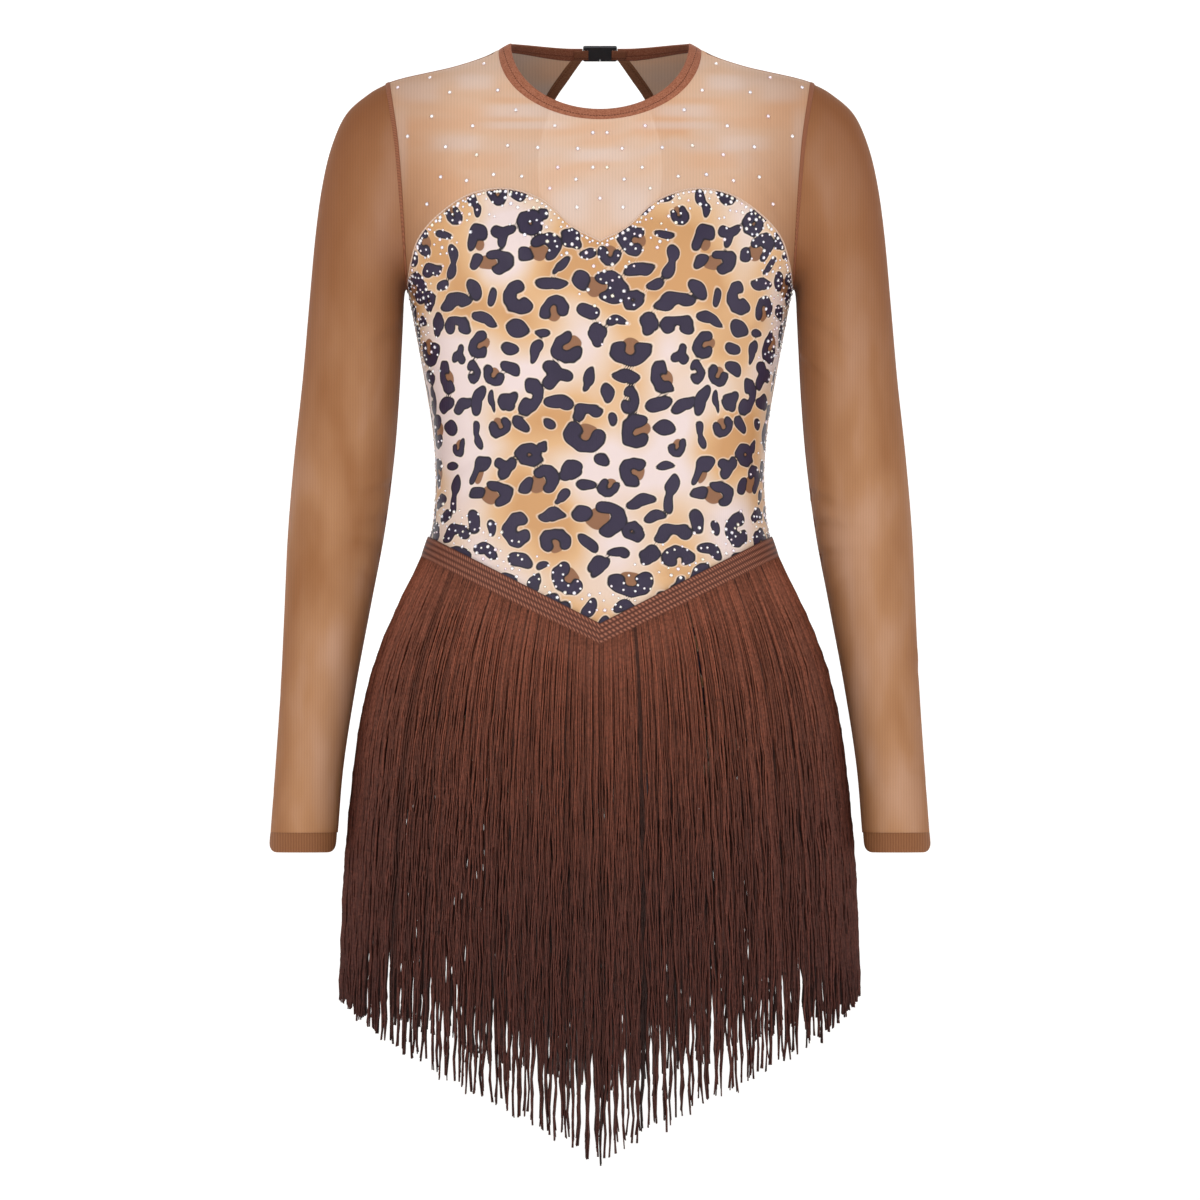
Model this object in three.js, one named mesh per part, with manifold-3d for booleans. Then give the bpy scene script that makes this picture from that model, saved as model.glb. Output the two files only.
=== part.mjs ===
// Long-sleeved stage bodysuit: sweetheart bodice, sheer yoke and sleeves, keyhole back and fringe skirt.
// Units are millimetres. +Z is up, the front faces -Y and +X is the wearer's left.
// The origin lies midway between the high points of the two shoulders, where the wearer holds it up.
import * as THREE from "three";
import { mergeVertices } from "three/addons/utils/BufferGeometryUtils.js";
import Module from "manifold-3d";

const wasm = await Module();
wasm.setup();

// Cloth thicknesses and the gap left at every seam.
const MESH_WALL = 1.2;
const BODICE_WALL = 1.5;
const HEM_WALL = 2.2;
const SEAM_GAP = 0.3;
const FRONT = -1;
const BACK = 1;

// The trunk's sections from the shoulders to the crotch: half width, and depth before and behind the sides.
const FULLNESS = 2.25; // exponent of each section's oval
const TRUNK = [
  { z: 8, half: 61, front: 22, back: 41 },
  { z: 1, half: 69.5, front: 26, back: 44.5 },
  { z: -4, half: 78, front: 30, back: 47 },
  { z: -8, half: 86, front: 34, back: 49.5 },
  { z: -13, half: 100, front: 39, back: 53 },
  { z: -18, half: 117, front: 44, back: 57 },
  { z: -22, half: 135, front: 48, back: 60 },
  { z: -26, half: 153, front: 51, back: 63 },
  { z: -30, half: 165.5, front: 54, back: 66 },
  { z: -38, half: 179, front: 59, back: 71 },
  { z: -48, half: 187, front: 65, back: 76 },
  { z: -60, half: 191, front: 72, back: 81 },
  { z: -90, half: 187, front: 87, back: 89 },
  { z: -120, half: 179, front: 99, back: 93 },
  { z: -150, half: 167, front: 107, back: 95 },
  { z: -170, half: 158, front: 110, back: 96 },
  { z: -190, half: 150.5, front: 109, back: 95.5 },
  { z: -220, half: 144.5, front: 104, back: 93 },
  { z: -260, half: 137, front: 97, back: 88 },
  { z: -300, half: 130.5, front: 91, back: 83.5 },
  { z: -332, half: 128, front: 88, back: 81 },
  { z: -363, half: 129, front: 89, back: 84 },
  { z: -385, half: 132.5, front: 92, back: 91 },
  { z: -420, half: 145, front: 97, back: 101 },
  { z: -450, half: 157, front: 101, back: 110 },
  { z: -480, half: 168, front: 103, back: 117 },
  { z: -510, half: 175, front: 103, back: 121 },
  { z: -540, half: 178, front: 100, back: 121 },
  { z: -601, half: 178, front: 92, back: 110 },
];
const CUP = { rise: 15, x: 72, z: -174, wide: 44, tall: 50 };
const CROTCH = { z: -601, from: -530, half: 34, power: 2.2 };
const LEG = { top: -472, frontCurl: 1.7, backCurl: 1.25 }; // the leg opening's top, and how it curves in
const LEG_ROWS_FROM = -505; // where the rows of facets for the leg opening start at the centre
const ROW_CROWDING = 1.3; // how strongly the rows above them crowd downwards
const ARMPIT = -190;
const SHOULDER_TIP = -30;

// The armhole seam as seen from the front.
const ARMHOLE = [
  { z: -30, x: 165.5 },
  { z: -72, x: 159 },
  { z: -109, x: 155.7 },
  { z: -138, x: 153.7 },
  { z: -165, x: 152 },
  { z: -190, x: 150.5 },
];

// The bodice's top edge, from the centre front up over the cup to the armpit.
const SWEETHEART = [
  { x: 0, z: -155 },
  { x: 21, z: -144 },
  { x: 42, z: -125 },
  { x: 62, z: -116 },
  { x: 82, z: -114 },
  { x: 104, z: -119.5 },
  { x: 126, z: -134.5 },
  { x: 141, z: -152 },
  { x: 147.5, z: -172 },
  { x: 150.5, z: -190 },
];
const BACK_TOP = { centre: -198, side: -190 };

// Neckline: quarter ovals for the front, near-straight edges for the back, which ends at the clasp.
const NECK_EDGE = { x: 69.5, z: 1, drop: 52.5, backX: 19.5, backZ: -1.6 };
const NECK_SEAM = { x: 78, z: -4, drop: 54.3, backX: 20.5, backZ: -9.9 };
const CLASP_EDGE = 13.7; // where the bindings end, just clear of the clasp

// The keyhole's bound edge in the back, from the clasp to its foot.
const KEYHOLE = [
  { x: 13.7, z: -10.2 },
  { x: 23.5, z: -24 },
  { x: 36.7, z: -43.7 },
  { x: 46, z: -70 },
  { x: 49, z: -95 },
  { x: 45, z: -120 },
  { x: 29, z: -144 },
  { x: 0, z: -155 },
];
const KEYHOLE_BINDING = 6.5;

// Sleeve sections: outer and inner points seen from the front, half the depth, and the arm's forward bend.
const SLEEVE = [
  { outX: 165.5, outZ: -30, inX: 150.5, inZ: -190, depth: 51, y: -3 },
  { outX: 180, outZ: -38, inX: 152.2, inZ: -192, depth: 51, y: -3 },
  { outX: 198, outZ: -54, inX: 153, inZ: -196, depth: 50.5, y: -3 },
  { outX: 209.5, outZ: -79, inX: 153.4, inZ: -201, depth: 50, y: -3 },
  { outX: 217, outZ: -110, inX: 153.8, inZ: -209, depth: 49, y: -3 },
  { outX: 222.5, outZ: -150, inX: 154.5, inZ: -222, depth: 47.5, y: -3 },
  { outX: 227.5, outZ: -205, inX: 155.6, inZ: -242, depth: 46, y: -2 },
  { outX: 232.5, outZ: -262, inX: 157.6, inZ: -278, depth: 44, y: 0 },
  { outX: 239, outZ: -322, inX: 161.5, inZ: -325, depth: 42, y: 1 },
  { outX: 244, outZ: -382, inX: 169, inZ: -382, depth: 40, y: -1 },
  { outX: 246.6, outZ: -440, inX: 179.5, inZ: -438, depth: 37.5, y: -5 },
  { outX: 249.5, outZ: -503, inX: 191, inZ: -500, depth: 34.5, y: -11 },
  { outX: 253.5, outZ: -564, inX: 200.5, inZ: -562, depth: 31.5, y: -18 },
  { outX: 257.2, outZ: -615, inX: 205, inZ: -615, depth: 29, y: -24 },
];
const CUFF = { outX: 258.2, outZ: -630.5, inX: 206, inZ: -630.5, depth: 28.5, y: -26 };
const CAP_FADE = [1, 0.75, 0.5, 0.28, 0.12]; // how far each section keeps the armhole's own shape

// Facets: neighbours share these counts, so that the corners of their facets meet along every seam.
const NECK_STEPS = 7; // along each quarter of the neckline
const RIDGE_STEPS = 3; // along the shoulder seam
const HALF_STEPS = NECK_STEPS + RIDGE_STEPS; // across half of a panel
const ARMHOLE_STEPS = 11; // down the armhole, front or back
const KEYHOLE_STEPS = 9; // down each side of the keyhole
const SIDE_ROWS = 12; // down the side seam
const LEG_ROWS = 6; // round the leg opening

// Fringe: its tape lies along a V, and the strands hang on an outline of their own.
const TAPE = { apex: -452, rise: 0.51, width: 17, near: 0.9, far: 2.5 };
const FRINGE = [
  { z: -383, half: 134.5, front: 94.5, back: 93.5 },
  { z: -400, half: 139.5, front: 97, back: 98.5 },
  { z: -420, half: 148.6, front: 100, back: 105 },
  { z: -450, half: 162.5, front: 104.5, back: 114 },
  { z: -480, half: 174.3, front: 107.5, back: 121.5 },
  { z: -512, half: 183, front: 110, back: 126.5 },
  { z: -545, half: 189, front: 112, back: 129.5 },
  { z: -620, half: 197, front: 115, back: 132 },
  { z: -700, half: 202, front: 117, back: 134 },
  { z: -746, half: 204, front: 118, back: 135 },
  { z: -880, half: 206, front: 121, back: 137 },
];
const HEM = {
  [FRONT]: { centre: -869, slope: 105, corner: 20 },
  [BACK]: { centre: -826, slope: 74, corner: 8 },
};
const STRANDS = { width: 2.8, depth: 1.8, reach: 0.985 }; // reach: how near the side seam the last one hangs
const STRAND_ROOT = { depth: 1, lift: 0.15, inset: 2.2 }; // inside the tape, up from its lower edge
const STRAND_BENDS = [0, 28, 65, 135]; // drops below the root at which a strand bends
const STRAND_COUNT = { [FRONT]: 92, [BACK]: 84 };
const TAPE_STEPS = 44;

const CLASP = { half: 13.3, height: 12.5, thick: 3, corner: 1.6, z: -5.4 };
const CLASP_SLOT = { x: 9.6, wide: 2.4, tall: 8.4 };

const TINY = 1e-9; // guards a comparison against rounding
const MERGE_WITHIN = 1e-4; // corners nearer than this are one
const SLOPE_STEP = 0.05; // half the stretch over which a slope is measured

const mix = (a, b, share) => a + (b - a) * share;
const smooth = (share) => share * share * (3 - 2 * share);
const round = (share) => (1 - Math.cos(Math.PI * share)) / 2;

// A named column of a table whose rows run downwards, as a smooth function of height.
function column(table, name, z) {
  const last = table.length - 1;
  let k = 0;
  while (k < last - 1 && z < table[k + 1].z) k += 1;
  const slope = (i) => {
    const a = table[Math.max(0, i - 1)];
    const b = table[Math.min(last, i + 1)];
    return (b[name] - a[name]) / (b.z - a.z);
  };
  const [low, high] = [table[k], table[k + 1]];
  const span = high.z - low.z;
  const s = Math.min(1, Math.max(0, (z - low.z) / span));
  const [s2, s3] = [s * s, s * s * s];
  return (
    (2 * s3 - 3 * s2 + 1) * low[name] +
    (s3 - 2 * s2 + s) * span * slope(k) +
    (3 * s2 - 2 * s3) * high[name] +
    (s3 - s2) * span * slope(k + 1)
  );
}

const halfWidth = (z) => column(TRUNK, "half", z);
const armholeX = (z) => column(ARMHOLE, "x", z);

// How far the trunk still stands open above the crotch, from 1 down to 0 at the crotch seam.
function openness(z) {
  const down = Math.min(1, Math.max(0, (CROTCH.from - z) / (CROTCH.from - CROTCH.z)));
  return (1 - down ** CROTCH.power) ** (1 / CROTCH.power);
}

function depth(x, z, side) {
  const plain = column(TRUNK, side === FRONT ? "front" : "back", z) * openness(z);
  if (side === BACK) return plain;
  const across = (Math.abs(x) - CUP.x) / CUP.wide;
  const along = (z - CUP.z) / CUP.tall;
  return plain + CUP.rise * Math.exp(-across * across - along * along);
}

// A point of the trunk's outer surface over (x, z), with its outward normal.
function skin(x, z, side) {
  const half = halfWidth(z);
  const ratio = Math.min(1, Math.abs(x) / half);
  const reach = (1 - ratio ** FULLNESS) ** (1 / FULLNESS);
  const deep = depth(x, z, side);
  const slope = (f) => (f(SLOPE_STEP) - f(-SLOPE_STEP)) / (2 * SLOPE_STEP);
  const halfSlope = slope((step) => halfWidth(z + step));
  const deepSlope = slope((step) => depth(x, z + step, side));
  const deepAcross = slope((step) => depth(x + step, z, side));
  const share = reach ** FULLNESS;
  const normal = new THREE.Vector3(
    (Math.sign(x) * ratio ** (FULLNESS - 1) * deep) / half - share * deepAcross,
    side * reach ** (FULLNESS - 1),
    (-(ratio ** FULLNESS) * deep * halfSlope) / half - share * deepSlope,
  ).normalize();
  const point = new THREE.Vector3(x, side * (deep * reach + SEAM_GAP / 2), z);
  return { point, normal };
}

// The same surface by the angle round the trunk: 0 at the centre, 1 and -1 at the side seams.
const skinRound = (turn, z, side) => skin(halfWidth(z) * Math.sin((turn * Math.PI) / 2), z, side);

// A smooth plane curve through a table of x and z, evenly spaced by length and moved sideways.
function curveOf(rows, sideways = 0) {
  const curve = new THREE.CatmullRomCurve3(
    rows.map(({ x, z }) => new THREE.Vector3(x, 0, z)),
    false,
    "centripetal",
  );
  return (share) => {
    const p = curve.getPointAt(share);
    const t = curve.getTangentAt(share);
    return [p.x - sideways * t.z, p.z + sideways * t.x];
  };
}

// A four-sided patch between its edge curves, each a function from 0 to 1 giving x and z.
function patch(top, bottom, left, right) {
  const corners = [top(0), top(1), bottom(0), bottom(1)];
  return (c, t) =>
    [0, 1].map(
      (k) =>
        mix(top(c)[k], bottom(c)[k], t) +
        mix(left(t)[k], right(t)[k], c) -
        mix(mix(corners[0][k], corners[1][k], c), mix(corners[2][k], corners[3][k], c), t),
    );
}

// A closed wall on a grid of surface points with normals: its faces lie near and far from that surface.
function wall({ rows, columns, at, near, far, closed = false }) {
  const across = closed ? columns : columns + 1;
  const positions = [];
  for (const offset of [far, near]) {
    for (let i = 0; i <= rows; i += 1) {
      for (let j = 0; j < across; j += 1) {
        const { point, normal } = at(i / rows, j / columns);
        positions.push(...point.clone().addScaledVector(normal, offset).toArray());
      }
    }
  }
  const layer = (rows + 1) * across;
  const index = [];
  const quad = (a, b, c, d) => index.push(a, b, c, a, c, d);
  const vertex = (i, j, inner) => i * across + (j % across) + (inner ? layer : 0);
  for (let i = 0; i < rows; i += 1) {
    for (let j = 0; j < columns; j += 1) {
      quad(vertex(i, j), vertex(i + 1, j), vertex(i + 1, j + 1), vertex(i, j + 1));
      quad(vertex(i, j, 1), vertex(i, j + 1, 1), vertex(i + 1, j + 1, 1), vertex(i + 1, j, 1));
    }
  }
  for (let j = 0; j < columns; j += 1) {
    quad(vertex(0, j), vertex(0, j + 1), vertex(0, j + 1, 1), vertex(0, j, 1));
    quad(vertex(rows, j), vertex(rows, j, 1), vertex(rows, j + 1, 1), vertex(rows, j + 1));
  }
  for (let i = 0; i < rows && !closed; i += 1) {
    quad(vertex(i, 0), vertex(i, 0, 1), vertex(i + 1, 0, 1), vertex(i + 1, 0));
    quad(vertex(i, columns), vertex(i + 1, columns), vertex(i + 1, columns, 1), vertex(i, columns, 1));
  }
  return outward(geometryOf(positions, index));
}

function geometryOf(positions, index) {
  const made = new THREE.BufferGeometry();
  made.setAttribute("position", new THREE.Float32BufferAttribute(positions, 3));
  made.setIndex(index);
  return made;
}

// Turns a closed geometry's faces round where they point inwards.
function outward(made) {
  const p = made.getAttribute("position");
  const index = made.getIndex().array;
  const [a, b, c] = [new THREE.Vector3(), new THREE.Vector3(), new THREE.Vector3()];
  let volume = 0;
  for (let i = 0; i < index.length; i += 3) {
    a.fromBufferAttribute(p, index[i]);
    b.fromBufferAttribute(p, index[i + 1]);
    c.fromBufferAttribute(p, index[i + 2]);
    volume += a.dot(b.cross(c));
  }
  if (volume < 0) {
    for (let i = 0; i < index.length; i += 3) {
      [index[i + 1], index[i + 2]] = [index[i + 2], index[i + 1]];
    }
  }
  return made;
}

function solid(geometry) {
  const bare = geometry.clone();
  bare.deleteAttribute("normal");
  bare.deleteAttribute("uv");
  const merged = mergeVertices(bare, MERGE_WITHIN);
  return new wasm.Manifold(
    new wasm.Mesh({
      numProp: 3,
      vertProperties: merged.getAttribute("position").array,
      triVerts: new Uint32Array(merged.getIndex().array),
    }),
  );
}

function joined(geometries) {
  const { vertProperties, triVerts } = wasm.Manifold.union(geometries.map(solid)).getMesh();
  return geometryOf(Array.from(vertProperties), Array.from(triVerts));
}

// Front and back bodice: from their top edges over the hips and round the leg openings to the crotch seam.
const sweetheart = curveOf(SWEETHEART);
const overSweetheart = curveOf(SWEETHEART, SEAM_GAP);
const turnOf = (x, z) => Math.asin(Math.min(1, Math.abs(x) / halfWidth(z))) / (Math.PI / 2);
const backTop = (share) => mix(BACK_TOP.centre, BACK_TOP.side, share * share);
const crowded = (share, power) => 1 - (1 - share) ** power; // rows crowd towards the lower end

function legEdge(share, side) {
  const z = mix(LEG.top, CROTCH.z, crowded(share, 2));
  const curl = (1 - share) ** (side === FRONT ? LEG.frontCurl : LEG.backCurl);
  return [turnOf(mix(CROTCH.half, halfWidth(LEG.top), curl), z), z];
}

function bodice(side) {
  const rows = SIDE_ROWS + LEG_ROWS;
  const sideShare = SIDE_ROWS / rows;
  const frontEdge = (c) => {
    const [x, z] = sweetheart(c);
    return [turnOf(x, z), z];
  };
  const top = side === FRONT ? frontEdge : (c) => [c, backTop(c)];
  const bottom = (c) => [c * legEdge(1, side)[0], CROTCH.z];
  const down = (start, middle, t) =>
    t < sideShare
      ? mix(start, middle, crowded(t / sideShare, ROW_CROWDING))
      : mix(middle, CROTCH.z, crowded((t - sideShare) / (1 - sideShare), 2));
  const left = (t) => [0, down(top(0)[1], LEG_ROWS_FROM, t)];
  const right = (t) =>
    t < sideShare ? [1, down(top(1)[1], LEG.top, t)] : legEdge((t - sideShare) / (1 - sideShare), side);
  const at = patch(top, bottom, left, right);
  return wall({
    rows,
    columns: 2 * HALF_STEPS,
    near: -BODICE_WALL,
    far: 0,
    at: (t, c) => {
      const [turn, z] = at(Math.abs(2 * c - 1), t);
      return skinRound(Math.sign(2 * c - 1) * Math.min(1, turn), z, side);
    },
  });
}

// Seams of the yoke, as x and z over a share of each one's length.
function frontNeck(line, share) {
  const turn = (share * Math.PI) / 2;
  return [line.x * Math.sin(turn), line.z - line.drop * Math.cos(turn)];
}

function backNeck(line, share) {
  return [mix(line.backX, line.x, share), mix(line.backZ, line.z, smooth(share))];
}

function ridge(share) {
  const z = mix(NECK_SEAM.z, SHOULDER_TIP, share);
  return [halfWidth(z), z];
}

function armhole(share) {
  const foot = ARMPIT + 2 * SEAM_GAP;
  if (share >= 1) return [halfWidth(foot), foot];
  const z = mix(SHOULDER_TIP, ARMPIT, round(share));
  return [Math.min(armholeX(z), halfWidth(z)), z];
}

// The curve through a table of points and their mirror images, over its first half.
function mirroredCurve(rows, sideways) {
  const mirrored = rows.slice(0, -1).reverse().map(({ x, z }) => ({ x: -x, z }));
  const whole = curveOf([...rows, ...mirrored], sideways);
  return (share) => whole(share / 2);
}

const topEdge = (neck) => (c) => {
  const step = c * HALF_STEPS;
  if (step < NECK_STEPS) return neck(NECK_SEAM, step / NECK_STEPS);
  return ridge((step - NECK_STEPS) / RIDGE_STEPS);
};

function frontYoke() {
  const bottom = (c) => {
    if (c >= 1) return armhole(1);
    const [x, z] = overSweetheart(c);
    return [c > 0 ? x : 0, z];
  };
  const top = topEdge(frontNeck);
  const left = (t) => [0, mix(top(0)[1], bottom(0)[1], round(t))];
  const at = patch(top, bottom, left, armhole);
  return wall({
    rows: ARMHOLE_STEPS,
    columns: 2 * HALF_STEPS,
    near: -MESH_WALL,
    far: 0,
    at: (t, c) => {
      const [x, z] = at(Math.abs(2 * c - 1), t);
      return skin(Math.sign(2 * c - 1) * x, z, FRONT);
    },
  });
}

// Back yoke: one half runs from the keyhole to the armhole, and its mirror image joins it below the keyhole.
function backYoke() {
  const keyholeShare = KEYHOLE_STEPS / ARMHOLE_STEPS;
  const edge = mirroredCurve(KEYHOLE, KEYHOLE_BINDING);
  const start = backNeck(NECK_SEAM, 0);
  const keyhole = (share) => {
    if (share <= 0) return start;
    const [x, z] = edge(share);
    return [share < 1 ? x : 0, z];
  };
  const lowest = BACK_TOP.centre + SEAM_GAP;
  const left = (t) =>
    t < keyholeShare - TINY
      ? keyhole(t / keyholeShare)
      : [0, mix(keyhole(1)[1], lowest, (t - keyholeShare) / (1 - keyholeShare))];
  const bottom = (c) => {
    if (c >= 1) return armhole(1);
    const z = backTop(c);
    return [halfWidth(z) * Math.sin((c * Math.PI) / 2), z + SEAM_GAP];
  };
  const at = patch(topEdge(backNeck), bottom, left, armhole);
  const half = (mirror) =>
    wall({
      rows: ARMHOLE_STEPS,
      columns: HALF_STEPS,
      near: -MESH_WALL,
      far: 0,
      at: (t, c) => {
        const [x, z] = at(c, t);
        const made = skin(x, z, BACK);
        made.point.x *= mirror;
        made.normal.x *= mirror;
        return made;
      },
    });
  return joined([half(1), half(-1)]);
}

// A narrow band lying along two edge curves of the trunk, each a function of the share giving x, z and side.
function band(columns, upper, lower) {
  return wall({
    rows: 1,
    columns,
    near: -HEM_WALL / 2,
    far: HEM_WALL / 2,
    at: (t, c) => {
      const [x, z, side] = (t < 0.5 ? upper : lower)(c);
      return skin(x, z, side);
    },
  });
}

// The neck binding runs from the clasp over one shoulder, across the front and back over the other shoulder.
function neckBinding() {
  const seam = { ...NECK_SEAM };
  for (const name of ["z", "backZ"]) seam[name] += SEAM_GAP;
  seam.x = halfWidth(seam.z);
  const halfSteps = 2 * NECK_STEPS + 1;
  const along = (line) => (c) => {
    const mirror = Math.sign(c - 0.5);
    const step = Math.round(Math.abs(2 * c - 1) * halfSteps);
    if (step === halfSteps) return [mirror * CLASP_EDGE, line.backZ, BACK];
    const side = step > NECK_STEPS ? BACK : FRONT;
    const share = side === BACK ? 2 - step / NECK_STEPS : step / NECK_STEPS;
    const [x, z] = side === BACK ? backNeck(line, share) : frontNeck(line, share);
    return [mirror * x, z, side];
  };
  return band(2 * halfSteps, along(NECK_EDGE), along(seam));
}

function keyholeBinding() {
  const inner = mirroredCurve(KEYHOLE, 0);
  const outer = mirroredCurve(KEYHOLE, KEYHOLE_BINDING - SEAM_GAP);
  const along = (curve, endX) => (c) => {
    const mirror = Math.sign(c - 0.5);
    const share = 1 - Math.abs(2 * c - 1);
    if (share <= 0) return [mirror * endX, KEYHOLE[0].z, BACK];
    const [x, z] = curve(share);
    return [mirror * x, z, BACK];
  };
  const seamX = NECK_SEAM.backX - SEAM_GAP;
  return band(2 * KEYHOLE_STEPS, along(inner, KEYHOLE[0].x), along(outer, seamX));
}

// Sleeve surface: the row picks a section, and the turn goes round from its outer point to the front.
function sleeveSection(row) {
  const k = Math.min(SLEEVE.length - 1, Math.floor(row));
  const next = Math.min(SLEEVE.length - 1, k + 1);
  const share = row - k;
  const section = {};
  for (const name of Object.keys(SLEEVE[0])) section[name] = mix(SLEEVE[k][name], SLEEVE[next][name], share);
  return section;
}

function ovalPoint(section, turn) {
  const [cos, sin] = [Math.cos(turn), Math.sin(turn)];
  return new THREE.Vector3(
    mix(section.inX, section.outX, (1 + cos) / 2),
    section.y - section.depth * sin,
    mix(section.inZ, section.outZ, (1 + cos) / 2),
  );
}

function armholePoint(turn) {
  const z = mix(ARMPIT, SHOULDER_TIP, (1 + Math.cos(turn)) / 2);
  const side = Math.sin(turn) > 0 ? FRONT : BACK;
  const { point } = skin(Math.min(armholeX(z), halfWidth(z)), z, side);
  point.x += 1.5 * SEAM_GAP; // a little more than a seam's gap, because the two edges bend apart
  return point;
}

function sleevePoint(row, turn) {
  const point = ovalPoint(sleeveSection(row), turn);
  const k = Math.min(CAP_FADE.length - 1, Math.floor(row));
  const fade = mix(CAP_FADE[k], CAP_FADE[k + 1] ?? 0, Math.min(1, row - k));
  if (row >= CAP_FADE.length || fade <= 0) return point;
  return point.add(armholePoint(turn).sub(ovalPoint(SLEEVE[0], turn)).multiplyScalar(fade));
}

function tubeNormal(pointAt, row, turn, lastRow) {
  const [above, below] = [Math.max(0, row - SLOPE_STEP), Math.min(lastRow, row + SLOPE_STEP)];
  const down = pointAt(below, turn).sub(pointAt(above, turn));
  const along = pointAt(row, turn + SLOPE_STEP).sub(pointAt(row, turn - SLOPE_STEP));
  return down.cross(along).normalize();
}

function tube(thick, pointAt, lastRow) {
  return (mirror) =>
    wall({
      rows: lastRow,
      columns: 2 * ARMHOLE_STEPS,
      near: -thick,
      far: 0,
      closed: true,
      at: (t, c) => {
        const turn = c * 2 * Math.PI;
        const point = pointAt(t * lastRow, turn);
        const normal = tubeNormal(pointAt, t * lastRow, turn, lastRow);
        const centre = pointAt(t * lastRow, 0).add(pointAt(t * lastRow, Math.PI)).multiplyScalar(0.5);
        if (normal.dot(point.clone().sub(centre)) < 0) normal.negate();
        point.x *= mirror;
        normal.x *= mirror;
        return { point, normal };
      },
    });
}

const SLEEVE_ROWS = SLEEVE.length - 1;
const sleeve = tube(MESH_WALL, sleevePoint, SLEEVE_ROWS);
const cuffTop = { ...SLEEVE[SLEEVE_ROWS] };
for (const name of ["outZ", "inZ"]) cuffTop[name] -= SEAM_GAP;
const cuffPoint = (row, turn) => ovalPoint(cuffTop, turn).lerp(ovalPoint(CUFF, turn), row);
const cuff = tube(HEM_WALL, cuffPoint, 1);

// Fringe: strands of three sides, their roots fused into the tape.
const tapeTop = (x) => TAPE.apex + TAPE.rise * Math.abs(x);

// The height at which the tape's edge crosses one turn round the trunk.
function tapeHeight(turn) {
  let z = TAPE.apex;
  for (let pass = 0; pass < 12; pass += 1) z = tapeTop(halfWidth(z) * Math.sin((turn * Math.PI) / 2));
  return z;
}

function hangPoint(turn, z, side) {
  const s = Math.sin((turn * Math.PI) / 2);
  const reach = (1 - Math.abs(s) ** FULLNESS) ** (1 / FULLNESS);
  const deep = column(FRINGE, side === FRONT ? "front" : "back", z);
  return new THREE.Vector3(column(FRINGE, "half", z) * s, side * deep * reach, z);
}

function hemHeight(turn, side) {
  const s = Math.abs(Math.sin((turn * Math.PI) / 2));
  const { centre, slope, corner } = HEM[side];
  return centre + slope * s + corner * s ** 6;
}

function strand(turn, side) {
  const root = tapeHeight(turn) - TAPE.width + STRAND_ROOT.inset;
  const heights = [...STRAND_BENDS.map((drop) => root - drop), hemHeight(turn, side)];
  const rings = heights.map((z, k) => {
    let centre = hangPoint(turn, z, side);
    if (k === 0) {
      const { point, normal } = skinRound(turn, z, side);
      centre = point.addScaledVector(normal, TAPE.near + STRAND_ROOT.lift);
    }
    const outwards = new THREE.Vector3(centre.x / 2, centre.y, 0).normalize();
    const across = new THREE.Vector3(-outwards.y, outwards.x, 0);
    const half = STRANDS.width / 2;
    return [
      centre.clone().addScaledVector(across, -half),
      centre.clone().addScaledVector(across, half),
      centre.clone().addScaledVector(outwards, k === 0 ? STRAND_ROOT.depth : STRANDS.depth),
    ];
  });
  const sides = 3;
  const index = [0, 1, 2];
  const end = (rings.length - 1) * sides;
  index.push(end, end + 2, end + 1);
  for (let k = 0; k < rings.length - 1; k += 1) {
    for (let s = 0; s < sides; s += 1) {
      const [a, b] = [k * sides + s, k * sides + ((s + 1) % sides)];
      index.push(a, a + sides, b, b, a + sides, b + sides);
    }
  }
  return outward(geometryOf(rings.flat().flatMap((p) => p.toArray()), index));
}

// Turns round the trunk at which strands hang, evenly spaced along the tape.
function evenTurns(count, side) {
  const steps = 400;
  const limit = STRANDS.reach;
  const lengths = [0];
  const at = (k) => {
    const turn = mix(-limit, limit, k / steps);
    return skinRound(turn, tapeHeight(turn), side).point;
  };
  for (let k = 1; k <= steps; k += 1) lengths.push(lengths[k - 1] + at(k).distanceTo(at(k - 1)));
  return Array.from({ length: count }, (_, n) => {
    const wanted = (lengths[steps] * n) / (count - 1);
    const k = Math.max(1, lengths.findIndex((length) => length >= wanted - TINY));
    const share = (wanted - lengths[k - 1]) / (lengths[k] - lengths[k - 1]);
    return mix(-limit, limit, (k - 1 + share) / steps);
  });
}

function fringe(side) {
  const tape = wall({
    rows: 1,
    columns: TAPE_STEPS,
    near: TAPE.near,
    far: TAPE.far,
    at: (t, c) => {
      const turn = 2 * c - 1;
      return skinRound(turn, tapeHeight(turn) - t * TAPE.width, side);
    },
  });
  const strands = evenTurns(STRAND_COUNT[side], side).map((turn) => strand(turn, side));
  return joined([tape, ...strands]);
}

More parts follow.
